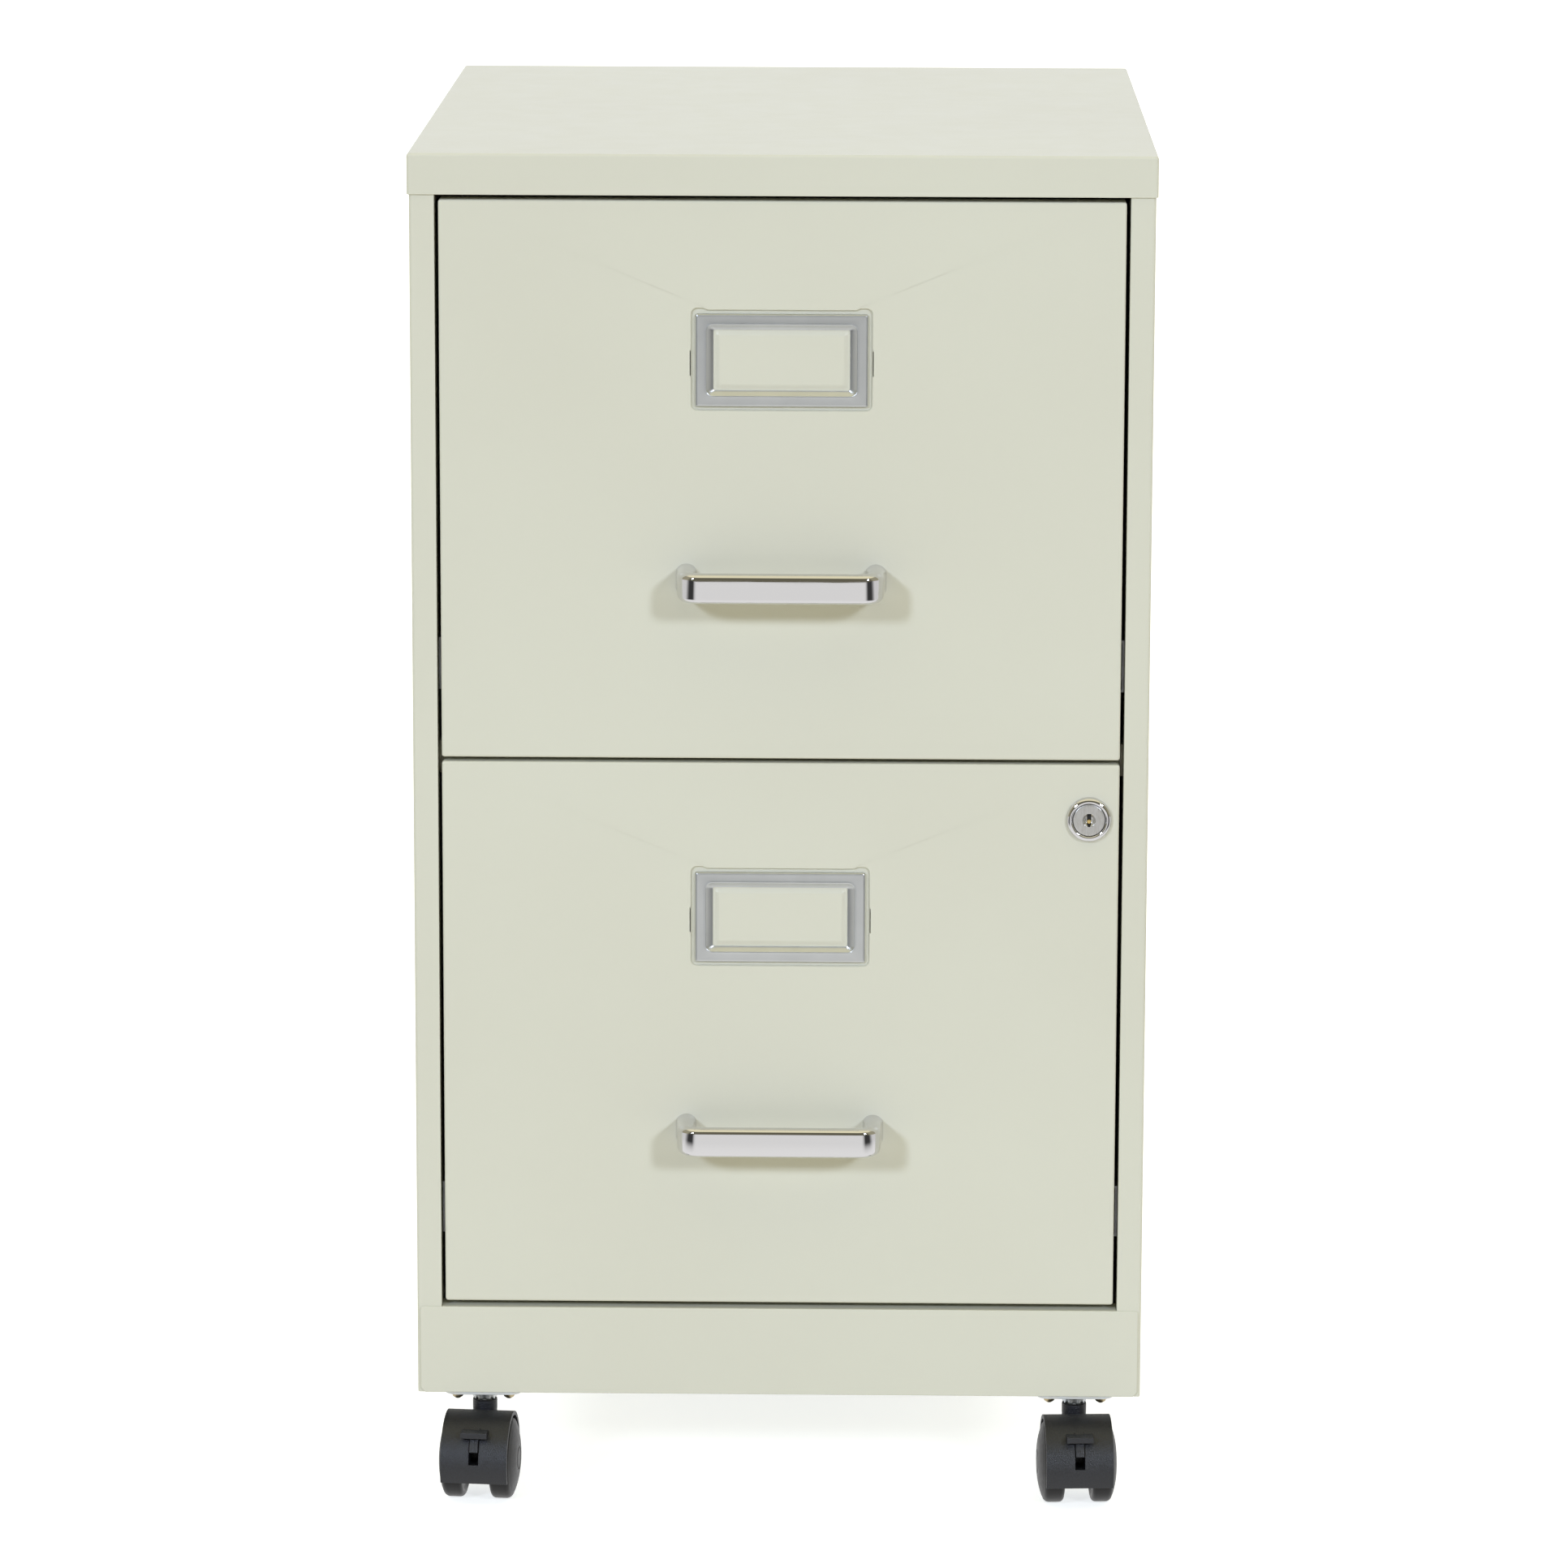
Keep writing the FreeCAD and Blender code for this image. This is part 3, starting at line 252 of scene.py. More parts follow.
def powder_coat():
    """Cream powder coat: slight cloudiness, satin gloss and an orange-peel surface."""
    material, nodes, links, shader = new_material("cream_powder_coat", (0.70, 0.69, 0.58), 0.42)
    cloud = textured(nodes, links, "ShaderNodeTexNoise", 5, Detail=3)
    color = tint(nodes, links, cloud.outputs["Fac"], (0.685, 0.675, 0.568), (0.705, 0.700, 0.592))
    links.new(color, shader.inputs["Base Color"])
    haze = textured(nodes, links, "ShaderNodeTexNoise", 60, Detail=4)
    links.new(ramp(nodes, links, haze.outputs["Fac"], 0.38, 0.46), shader.inputs["Roughness"])
    peel = textured(nodes, links, "ShaderNodeTexNoise", 650, Detail=1.5)
    grit = textured(nodes, links, "ShaderNodeTexNoise", 2600, Detail=2)
    bump(nodes, links, shader, [
        (peel.outputs["Fac"], 0.22, 0.12 * MM),
        (grit.outputs["Fac"], 0.10, 0.04 * MM),
    ])
    shader.inputs["Coat Weight"].default_value = 0.25
    shader.inputs["Coat Roughness"].default_value = 0.28
    return material


def galvanised_sheet():
    """Dull zinc sheet with its spangle."""
    material, nodes, links, shader = new_material("galvanised_sheet", (0.55, 0.56, 0.57), 0.42, 1.0)
    spangle = textured(nodes, links, "ShaderNodeTexVoronoi", 420)
    color = tint(nodes, links, spangle.outputs["Color"], (0.53, 0.54, 0.55), (0.62, 0.63, 0.64))
    links.new(color, shader.inputs["Base Color"])
    links.new(ramp(nodes, links, spangle.outputs["Color"], 0.42, 0.52), shader.inputs["Roughness"])
    scuff = textured(nodes, links, "ShaderNodeTexNoise", 900, stretch=(1, 0.05, 1), Detail=3)
    bump(nodes, links, shader, [(scuff.outputs["Fac"], 0.15, 0.05 * MM)])
    return material


def bright_zinc(name="bright_zinc", first=(0.62, 0.67, 0.70), second=(0.80, 0.81, 0.78)):
    """Plated steel whose tint drifts over the surface."""
    material, nodes, links, shader = new_material(name, first, 0.28, 1.0)
    drift = textured(nodes, links, "ShaderNodeTexNoise", 140, Detail=3)
    links.new(tint(nodes, links, drift.outputs["Fac"], first, second), shader.inputs["Base Color"])
    links.new(ramp(nodes, links, drift.outputs["Fac"], 0.34, 0.50), shader.inputs["Roughness"])
    pits = textured(nodes, links, "ShaderNodeTexNoise", 1800, Detail=2)
    bump(nodes, links, shader, [(pits.outputs["Fac"], 0.18, 0.05 * MM)])
    return material


def chrome():
    """Polished plating over a die casting, with the casting's faint waviness and hairlines."""
    material, nodes, links, shader = new_material("polished_chrome", (0.70, 0.69, 0.69), 0.05, 1.0)
    wave = textured(nodes, links, "ShaderNodeTexNoise", 45, Detail=1)
    hair = textured(nodes, links, "ShaderNodeTexNoise", 900, stretch=(0.06, 1, 1), Detail=3)
    links.new(ramp(nodes, links, hair.outputs["Fac"], 0.035, 0.075), shader.inputs["Roughness"])
    bump(nodes, links, shader, [
        (wave.outputs["Fac"], 0.12, 0.35 * MM),
        (hair.outputs["Fac"], 0.02, 0.02 * MM),
    ])
    return material


def satin_chrome():
    """The plug's face: dull chrome with the marks of its polishing wheel."""
    material, nodes, links, shader = new_material("satin_chrome", (0.58, 0.57, 0.54), 0.34, 1.0)
    marks = textured(nodes, links, "ShaderNodeTexNoise", 1400, stretch=(1, 1, 0.2), Detail=4)
    color = tint(nodes, links, marks.outputs["Fac"], (0.50, 0.49, 0.46), (0.66, 0.65, 0.62))
    links.new(color, shader.inputs["Base Color"])
    links.new(ramp(nodes, links, marks.outputs["Fac"], 0.26, 0.42), shader.inputs["Roughness"])
    bump(nodes, links, shader, [(marks.outputs["Fac"], 0.3, 0.05 * MM)])
    return material


def keyway_shade_material():
    """Near-black painted shade for the inside of the keyway, with a little random tone."""
    material, nodes, links, shader = new_material("painted_keyway_shade", (0.010, 0.009, 0.008), 0.6)
    shade_noise = textured(nodes, links, "ShaderNodeTexNoise", 1600, Detail=3)
    color = tint(nodes, links, shade_noise.outputs["Fac"], (0.006, 0.006, 0.005), (0.020, 0.017, 0.013))
    links.new(color, shader.inputs["Base Color"])
    bump(nodes, links, shader, [(shade_noise.outputs["Fac"], 0.4, 0.05 * MM)])
    return material


def satin_silver():
    """Rolled steel lacquered silver, with a fine even grain."""
    material, nodes, links, shader = new_material("satin_silver", (0.60, 0.61, 0.60), 0.36, 1.0)
    grain = textured(nodes, links, "ShaderNodeTexNoise", 2400, stretch=(0.3, 1, 1), Detail=3)
    cloud = textured(nodes, links, "ShaderNodeTexNoise", 70, Detail=2)
    color = tint(nodes, links, cloud.outputs["Fac"], (0.585, 0.595, 0.583), (0.63, 0.64, 0.628))
    links.new(color, shader.inputs["Base Color"])
    links.new(ramp(nodes, links, grain.outputs["Fac"], 0.33, 0.39), shader.inputs["Roughness"])
    bump(nodes, links, shader, [(grain.outputs["Fac"], 0.10, 0.02 * MM)])
    return material


def grained_nylon():
    """Black nylon from an etched mould, which glints from its grain."""
    material, nodes, links, shader = new_material("grained_black_nylon", (0.016, 0.016, 0.018), 0.42)
    grain = textured(nodes, links, "ShaderNodeTexVoronoi", 2300)
    coarse = textured(nodes, links, "ShaderNodeTexNoise", 1100, Detail=3)
    color = tint(nodes, links, coarse.outputs["Fac"], (0.005, 0.005, 0.007), (0.011, 0.012, 0.015))
    links.new(color, shader.inputs["Base Color"])
    links.new(ramp(nodes, links, coarse.outputs["Fac"], 0.34, 0.52), shader.inputs["Roughness"])
    bump(nodes, links, shader, [
        (grain.outputs["Distance"], 0.6, 0.16 * MM),
        (coarse.outputs["Fac"], 0.35, 0.10 * MM),
    ])
    shader.inputs["Specular IOR Level"].default_value = 0.62
    return material


def smooth_nylon():
    """Black nylon tread, polished by the mould and lightly scuffed."""
    material, nodes, links, shader = new_material("smooth_black_nylon", (0.013, 0.013, 0.014), 0.3)
    scuff = textured(nodes, links, "ShaderNodeTexNoise", 380, Detail=5)
    color = tint(nodes, links, scuff.outputs["Fac"], (0.006, 0.006, 0.006), (0.010, 0.009, 0.009))
    links.new(color, shader.inputs["Base Color"])
    links.new(ramp(nodes, links, scuff.outputs["Fac"], 0.34, 0.42), shader.inputs["Roughness"])
    bump(nodes, links, shader, [(scuff.outputs["Fac"], 0.06, 0.04 * MM)])
    shader.inputs["Specular IOR Level"].default_value = 0.3
    return material


def natural_nylon():
    """Milky roller nylon."""
    material, nodes, links, shader = new_material("natural_nylon", (0.74, 0.73, 0.67), 0.42)
    cloud = textured(nodes, links, "ShaderNodeTexNoise", 220, Detail=3)
    color = tint(nodes, links, cloud.outputs["Fac"], (0.70, 0.69, 0.62), (0.78, 0.77, 0.72))
    links.new(color, shader.inputs["Base Color"])
    bump(nodes, links, shader, [(cloud.outputs["Fac"], 0.12, 0.08 * MM)])
    return material


def keyway_brass():
    """The brass wafer seen in the keyway."""
    material, nodes, links, shader = new_material("wafer_brass", (0.75, 0.55, 0.20), 0.3, 1.0)
    rub = textured(nodes, links, "ShaderNodeTexNoise", 1500, Detail=3)
    color = tint(nodes, links, rub.outputs["Fac"], (0.62, 0.43, 0.14), (0.83, 0.64, 0.28))
    links.new(color, shader.inputs["Base Color"])
    bump(nodes, links, shader, [(rub.outputs["Fac"], 0.2, 0.04 * MM)])
    return material


PAINT = powder_coat()
GALVANISED = galvanised_sheet()
ZINC = bright_zinc()
YELLOW_ZINC = bright_zinc("yellow_zinc", (0.46, 0.34, 0.15), (0.66, 0.58, 0.40))
CHROME = chrome()
SATIN_CHROME = satin_chrome()
# Near-black painted shade for the keyway's inside.
KEYWAY_SHADE = keyway_shade_material()
SILVER = satin_silver()
NYLON = grained_nylon()
TREAD = smooth_nylon()
ROLLER_NYLON = natural_nylon()
BRASS = keyway_brass()

FINISHES = {
    "cream_paint": PAINT,
    "galvanised_steel": GALVANISED,
    "zinc_plate": ZINC,
    "yellow_zinc": YELLOW_ZINC,
    "chrome": CHROME,
    "satin_silver": SILVER,
    "black_nylon": NYLON,
    "wheel_black": TREAD,
    "roller_nylon": ROLLER_NYLON,
}


def finish_cad_nodes():
    """Every CAD node takes the finish of its material slot."""
    for entry in frame["record"]["subparts"]:
        node = frame["nodes"][entry["node"]]
        node.data.materials.clear()
        node.data.materials.append(FINISHES[entry["material_slot"]])


# ---- drawer fronts ---------------------------------------------------------------------------

SHEET = 0.8 * MM
FRONT_EDGE = 1.1 * MM
FRONT_CORNER = 1.3 * MM
RECESS = (88.8 * MM, 49.9 * MM)
RECESS_DEPTH = 1.6 * MM
RECESS_CORNER = 3.2 * MM
RECESS_EAR = 0.9 * MM
PAD_SIZE = (66.0 * MM, 29.4 * MM)
PAD_RISE = 0.9 * MM
SNAP_SLOT = (0.45 * MM, 12.4 * MM)


def label_centre(level):
    """The middle of a drawer's label frame."""
    low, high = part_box(f"{level}_label_frame")
    return (low + high) / 2


def rolled_edge(centre, width, height, y_side, y_face, radius, corner, steps=5):
    """Rings from a side face, round its folded edge, to just inside the front face."""
    rings = [eared_ring(centre, width, height, corner, y_side)]
    rings.append(eared_ring(centre, width, height, corner, y_face + radius + 0.4 * MM))
    for i in range(steps + 1):
        angle = math.radians(90 * i / steps)
        inset = radius * (1 - math.cos(angle))
        y = y_face + radius * (1 - math.sin(angle))
        rings.append(eared_ring(centre, width - 2 * inset, height - 2 * inset, corner - 0.4 * inset, y))
    inset = radius + 0.5 * MM
    rings.append(eared_ring(centre, width - 2 * inset, height - 2 * inset, corner - 0.4 * radius, y_face))
    return rings


def pressed_step(centre, width, height, corner, y_from, y_to, shoulder, ear=0.0, steps=4):
    """Rings down, or up, a pressed step: an S of two soft shoulders with flats held at both ends."""
    rings = [eared_ring(centre, width + 0.8 * MM, height + 0.8 * MM, corner + 0.4 * MM, y_from, ear)]
    for i in range(2 * steps + 1):
        share = i / (2 * steps)
        inset = 2 * shoulder * share
        y = y_from + (y_to - y_from) * (0.5 - 0.5 * math.cos(math.pi * share))
        tight = max(corner - inset, 0.4 * MM)
        rings.append(eared_ring(centre, width - 2 * inset, height - 2 * inset, tight, y, ear))
    inset = 2 * shoulder + 0.4 * MM
    last = max(corner - inset, 0.4 * MM)
    rings.append(eared_ring(centre, width - 2 * inset, height - 2 * inset, last, y_to, ear))
    return rings


def make_drawer_front(level):
    """The folded pan with its pressed label recess, as one sheet with an outer and an inner skin."""
    low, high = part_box(f"{level}_drawer_front")
    middle, size = (low + high) / 2, high - low
    label = label_centre(level)
    face = low.y
    floor = face + RECESS_DEPTH
    outer = rolled_edge(middle, size.x, size.z, high.y, face, FRONT_EDGE, FRONT_CORNER)
    outer += pressed_step(label, *RECESS, RECESS_CORNER, face, floor, 0.45 * MM, RECESS_EAR)
    outer += pressed_step(label, *PAD_SIZE, 2.6 * MM, floor, floor - PAD_RISE, 1.6 * MM)
    back = floor + SHEET
    inner = [
        eared_ring(label, PAD_SIZE[0] - 8 * MM, PAD_SIZE[1] - 8 * MM, 0.5 * MM, back),
        eared_ring(label, RECESS[0], RECESS[1], RECESS_CORNER, back, RECESS_EAR),
        eared_ring(label, RECESS[0] + 1 * MM, RECESS[1] + 1 * MM, RECESS_CORNER, face + SHEET, RECESS_EAR),
        eared_ring(middle, size.x - 4 * SHEET, size.z - 4 * SHEET, FRONT_CORNER / 2, face + SHEET),
        eared_ring(middle, size.x - 2 * SHEET, size.z - 2 * SHEET, FRONT_CORNER / 2, face + 2 * SHEET),
        eared_ring(middle, size.x - 2 * SHEET, size.z - 2 * SHEET, FRONT_CORNER / 2, high.y),
    ]
    skin = ring_mesh(list(reversed(outer)) + list(reversed(inner)))
    front = mesh_object(f"{level}_front_pan", skin, PAINT, sharp=60)
    cut_with(front, snap_slot_cutter(label, face))
    keep_flats_flat(front)
    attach(front, f"{level}_drawer")
    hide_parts(f"{level}_drawer_front")


def snap_slot_cutter(label, face):
    """Two upright slots through the recess's side walls, where the label frame's tabs snap in."""
    bm = bmesh.new()
    wide, tall = SNAP_SLOT
    for side in (-1, 1):
        x = label.x + side * (RECESS[0] / 2 + 0.1 * MM)
        middle = Vector((x, face + 1.2 * MM, label.z - 1.5 * MM))
        scale = Matrix.Diagonal((wide, 4 * MM, tall, 1))
        bmesh.ops.create_cube(bm, size=1, matrix=Matrix.Translation(middle) @ scale)
    return mesh_object("snap_slot_cutter", bm, PAINT)


def cut_with(piece, cutter, sharp=60):
    """Cut a piece with another mesh, which is then thrown away."""
    cut = piece.modifiers.new("cut", "BOOLEAN")
    cut.operation = "DIFFERENCE"
    cut.solver = "EXACT"
    cut.object = cutter
    bake_modifiers(piece)
    bpy.data.objects.remove(cutter)
    piece.data.shade_smooth()
    piece.data.set_sharp_from_angle(angle=math.radians(sharp))


def bake_modifiers(thing):
    """Replace a piece's mesh by what its modifiers make of it."""
    depsgraph = bpy.context.evaluated_depsgraph_get()
    mesh = bpy.data.meshes.new_from_object(thing.evaluated_get(depsgraph))
    thing.modifiers.clear()
    thing.data = mesh


# ---- cabinet shell ---------------------------------------------------------------------------

PANEL_EDGE = 0.55 * MM
SOFT_EDGED = {
    "caster_plates": "zinc_plate",
    "mid_cross_rail": "cream_paint",
    "top_front_rail": "cream_paint",
    "bottom_pan": "cream_paint",
    "back_panel": "cream_paint",
    "lock_cam": "zinc_plate",
    "lock_nut": "zinc_plate",
}


def make_soft_edged(node, slot):
    """A plain pressing with its cut edges eased."""
    piece = softened(node, FINISHES[slot], 0.25 * MM)
    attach(piece, body_of(node))
    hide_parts(node)


def body_of(node):
    """The body a CAD node belongs to."""
    bodies = frame["record"]["behaviour"]["bodies"]
    return next(name for name, nodes in bodies.items() if node in nodes)


def make_panel(node):
    """A folded panel of the shell, with the folds and cut edges rounded under the paint."""
    panel = softened(node, PAINT, PANEL_EDGE, segments=3)
    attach(panel, "cabinet")
    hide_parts(node)


# ---- label frames ----------------------------------------------------------------------------

LABEL_OPENING = (74.2 * MM, 35.6 * MM)
LABEL_WINDOW = (66.6 * MM, 29.8 * MM)
LABEL_SLACK = 1.0 * MM


def make_label_frame(level):
    """A stamped frame: rolled outer edge, flat band, raised bead and walls that slope to the window."""
    low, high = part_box(f"{level}_label_frame")
    centre, size = (low + high) / 2, high - low
    face, back = low.y, high.y
    bead = 0.12 * MM
    deep = back - face
    opening, window = LABEL_OPENING, LABEL_WINDOW

    def ring(size_now, grow, corner, y):
        return facing_ring(centre, size_now[0] + 2 * grow, size_now[1] + 2 * grow, corner, y, steps=8)

    outside = (size.x - LABEL_SLACK, size.z)
    rings = [
        ring(outside, 0.0, 0.9 * MM, back),
        ring(outside, 0.0, 0.9 * MM, face + 1.0 * MM),
        ring(outside, -0.08 * MM, 0.9 * MM, face + 0.66 * MM),
        ring(outside, -0.29 * MM, 0.9 * MM, face + 0.38 * MM),
        ring(outside, -0.58 * MM, 0.8 * MM, face + 0.19 * MM),
        ring(outside, -0.95 * MM, 0.8 * MM, face + bead),
        ring(outside, -1.4 * MM, 0.8 * MM, face + bead),
        ring(opening, 0.7 * MM, 4.2 * MM, face + bead),
        ring(opening, 0.4 * MM, 4.0 * MM, face + 0.08 * MM),
        ring(opening, 0.15 * MM, 3.8 * MM, face + 0.01 * MM),
        ring(opening, -0.1 * MM, 3.5 * MM, face),
        ring(opening, -0.35 * MM, 3.3 * MM, face + 0.07 * MM),
        ring(opening, -0.6 * MM, 3.0 * MM, face + 0.25 * MM),
        ring(opening, -0.8 * MM, 2.8 * MM, face + 0.5 * MM),
        ring(window, 0.5 * MM, 1.2 * MM, back - 0.24 * deep),
        ring(window, 0.2 * MM, 1.0 * MM, back - 0.17 * deep),
        ring(window, 0.0, 0.9 * MM, back - 0.14 * deep),
        ring(window, 0.0, 0.9 * MM, back),
    ]
    holder = mesh_object(f"{level}_label_holder", ring_mesh(rings, closed=True), SILVER, sharp=60)
    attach(holder, f"{level}_drawer")
    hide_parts(f"{level}_label_frame")


# ---- handles ---------------------------------------------------------------------------------

PULL_LEG = 8.6 * MM
PULL_LEG_TALLER = 0.8 * MM
PULL_BAR = 6.4 * MM
PULL_CROWN = 0.35 * MM
PULL_BEND = 9.0 * MM
PULL_BEND_STEPS = 30
ROOT_SHARE = 0.22
ROOT_TALLER = 0.7 * MM
ROOT_WIDER = 0.16


def pull_stations(half_span, y_bar):
    """(x, y, heading, share) along half of the arch: share is 0 at the root and 1 along the bar."""
    x = half_span - PULL_LEG / 2
    straight = -y_bar - PULL_BEND
    stations = [(x, -straight * i / 10, 90, 0.5 * i / 10) for i in range(11)]
    middles = [(i + 0.5) / PULL_BEND_STEPS for i in range(PULL_BEND_STEPS)]
    headings = [90 + 90 * smooth_share(middle) for middle in middles]
    step = PULL_BEND / sum(-math.cos(math.radians(heading)) for heading in headings)
    y = -straight
    for i, heading in enumerate(headings):
        x += step * math.cos(math.radians(heading))
        y -= step * math.sin(math.radians(heading))
        bent = (i + 1) / PULL_BEND_STEPS
        stations.append((x, y, 90 + 90 * smooth_share(bent), 0.5 + 0.5 * bent))
    stations.append((x - 1 * MM, y, 180, 1.0))
    stations.append((x - 14 * MM, y, 180, 1.0))
    return stations


def pull_section(thick, tall, radius, crown):
    """The pull's section as (across, up) pairs, with its outer face crowned a little."""
    points = []
    for across, up in rounded_rectangle(thick, tall, radius, steps=8):
        bulge = crown * max(0.0, 1 - (2 * up / tall) ** 2) if across > 0 else 0.0
        points.append((across + bulge - crown, up))
    return points


def make_handle(level):
    """The arch pull: a crowned bar that turns back into rounder legs, which widen at the root."""
    low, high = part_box(f"{level}_handle")
    centre_z = (low.z + high.z) / 2
    face = high.y
    half_span, reach = (high.x - low.x) / 2, high.y - low.y
    tall = high.z - low.z
    half = pull_stations(half_span, PULL_BAR / 2 - reach)
    path = half + [(-x, y, 360 - heading, share) for x, y, heading, share in reversed(half)]
    rings = []
    for x, y, heading, share in path:
        ease = smooth_share(share)
        flare = max(0.0, 1 - share / ROOT_SHARE) ** 2
        thick = PULL_LEG + (PULL_BAR - PULL_LEG) * ease
        height = tall + PULL_LEG_TALLER * (1 - ease) + ROOT_TALLER * flare
        corner = 2.8 * MM + 1.4 * MM * (1 - ease)
        turn = math.radians(heading)
        across = Vector((math.sin(turn), math.cos(turn), 0))
        spread = 1 + ROOT_WIDER * flare
        rings.append([Vector((x, face + y, centre_z + up)) + across * side * spread
                      for side, up in pull_section(thick, height, corner, PULL_CROWN)])
    pull = mesh_object(f"{level}_arch_pull", ring_mesh(rings), CHROME, sharp=75)
    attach(pull, f"{level}_drawer")
    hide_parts(f"{level}_handle")


# ---- lock ------------------------------------------------------------------------------------

BEZEL_BORE = 8.2 * MM
BEZEL_LIP = 0.9 * MM
BEZEL_RIDGE = 9.1 * MM
BEZEL_OUTER = 11.25 * MM
BARREL_RADIUS = 9.3 * MM
PLUG_STEM = 4.2 * MM
PLUG_RADIUS = 8.0 * MM
PLUG_SUNK = 0.55 * MM
WAFER_DROP = 0.95 * MM


def make_lock():
    """Domed chrome bezel, plug with its key guide and keyway, and the brass wafer inside."""
    low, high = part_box("lock_barrel")
    centre = Vector(((low.x + high.x) / 2, low.y, (low.z + high.z) / 2))
    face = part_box("lower_drawer_front")[0].y - low.y
    back = high.y - low.y
    make_bezel(centre, face, back)
    make_plug(centre, back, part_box("lock_plug")[1].y - low.y)


def make_bezel(centre, face, back):
    """A ring that rises from the drawer front, rolls over and drops to the plug."""
    profile = [(back, BEZEL_BORE), (BEZEL_LIP + 0.2 * MM, BEZEL_BORE)]
    for i in range(9):
        angle = math.radians(180 - 90 * i / 8)
        profile.append((BEZEL_LIP * (1 - math.sin(angle)), BEZEL_RIDGE + BEZEL_LIP * math.cos(angle)))
    slope = BEZEL_OUTER - BEZEL_RIDGE
    for i in range(1, 11):
        angle = math.radians(90 * i / 10)
        profile.append(((face - 0.1 * MM) * (1 - math.cos(angle)), BEZEL_RIDGE + slope * math.sin(angle)))
    profile += [(face, BEZEL_OUTER), (face, BARREL_RADIUS), (back, BARREL_RADIUS)]
    barrel = mesh_object("lock_bezel", lathe(profile, centre, Vector((0, 1, 0)), 96), CHROME, sharp=60)
    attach(barrel, "lower_drawer")
    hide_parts("lock_barrel")


def make_plug(centre, back, end):
    """The plug's face, with a conical key guide, cut by the keyway."""
    axis = Vector((0, 1, 0))
    face = PLUG_SUNK
    profile = [
        (end, 0.0), (end, PLUG_STEM), (back + 0.5 * MM, PLUG_STEM), (back + 0.5 * MM, PLUG_RADIUS),
        (face + 0.5 * MM, PLUG_RADIUS), (face + 0.2 * MM, 7.95 * MM), (face + 0.05 * MM, 7.8 * MM),
        (face, 7.6 * MM), (face, 6.8 * MM), (face, 3.6 * MM), (face, 3.3 * MM), (face + 0.1 * MM, 3.1 * MM),
        (face + 0.35 * MM, 2.9 * MM), (face + 1.25 * MM, 1.9 * MM), (face + 1.35 * MM, 1.7 * MM),
        (face + 1.35 * MM, 0.0),
    ]
    plug = mesh_object("lock_core", lathe(profile, centre, axis, 96), SATIN_CHROME, sharp=50)
    cut_with(plug, keyway_cutter(centre), sharp=50)
    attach(plug, "lock_plug_and_cam")
    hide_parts("lock_plug")

    # The keyway's dark inside is painted shade: a near-black lining.
    shade_liner = keyway_shade_liner(centre)
    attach(shade_liner, "lock_plug_and_cam")

    wafer = [
        (6.0 * MM, 0.0), (6.0 * MM, 1.15 * MM), (2.3 * MM, 1.15 * MM),
        (2.05 * MM, 0.95 * MM), (1.95 * MM, 0.0),
    ]
    brass = mesh_object("lock_wafer", lathe(wafer, centre - Vector((0, 0, WAFER_DROP)), axis, 24), BRASS)
    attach(brass, "lock_plug_and_cam")


KEYWAY = ((-1.05, -2.4), (-0.4, -3.4), (0.4, -3.4), (1.05, -2.4), (1.05, 3.2), (-1.05, 3.2))
KEYWAY_DEEP = 7 * MM


def keyway_prism(name, centre, grow, y_from, y_to, material):
    """The keyway's outline, grown or shrunk, between two depths."""
    outline = [(x + math.copysign(grow, x), z + math.copysign(grow, z)) for x, z in KEYWAY]
    rings = []
    for y in (y_from, y_to):
        rings.append([centre + Vector((x * MM, y, z * MM)) for x, z in outline])
    return mesh_object(name, ring_mesh(rings), material)


def keyway_cutter(centre):
    """What cuts the keyway into the plug."""
    return keyway_prism("keyway_cutter", centre, 0.0, -1 * MM, KEYWAY_DEEP, CHROME)


def keyway_shade_liner(centre):
    """A near-black lining in the keyway: painted shade for the dark inside of the slot."""
    return keyway_prism("keyway_floor", centre, 0.15, 2.6 * MM, KEYWAY_DEEP + 0.2 * MM, KEYWAY_SHADE)


# ---- casters ---------------------------------------------------------------------------------

NECK_RADIUS = 6.1 * MM
NECK_BORE = 4.6 * MM
NECK_RINGS = 5
NECK_RING_PITCH = 0.9 * MM
NECK_RING_PROUD = 0.12 * MM
WHEEL_INNER = 6.9 * MM
WHEEL_OUTER = 19.9 * MM
WHEEL_BORE = 2.55 * MM
WHEEL_BORE_DEEP = 9.8 * MM
TREAD_WIDE = 7.4 * MM
TREAD_CORNER = 2.3 * MM
TREAD_SHOULDER = 3.0 * MM
WHEEL_SEGMENTS = 72


def make_caster(corner):
    """A caster's hood, its two wheels and, in front, its brake lever."""
    spin = joint(f"{corner}_caster_left_wheel_spin")
    axle, along = Vector(spin["pos_m"]), Vector(spin["axis"])
    make_hood(corner)
    for side, sign in (("left", -1), ("right", 1)):
        make_wheel(corner, side, axle, along * sign)
    if corner.startswith("front"):
        tab = softened(f"{corner}_brake_lever", NYLON, 0.8 * MM, segments=3)
        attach(tab, f"{corner}_brake_lever")
        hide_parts(f"{corner}_brake_lever")


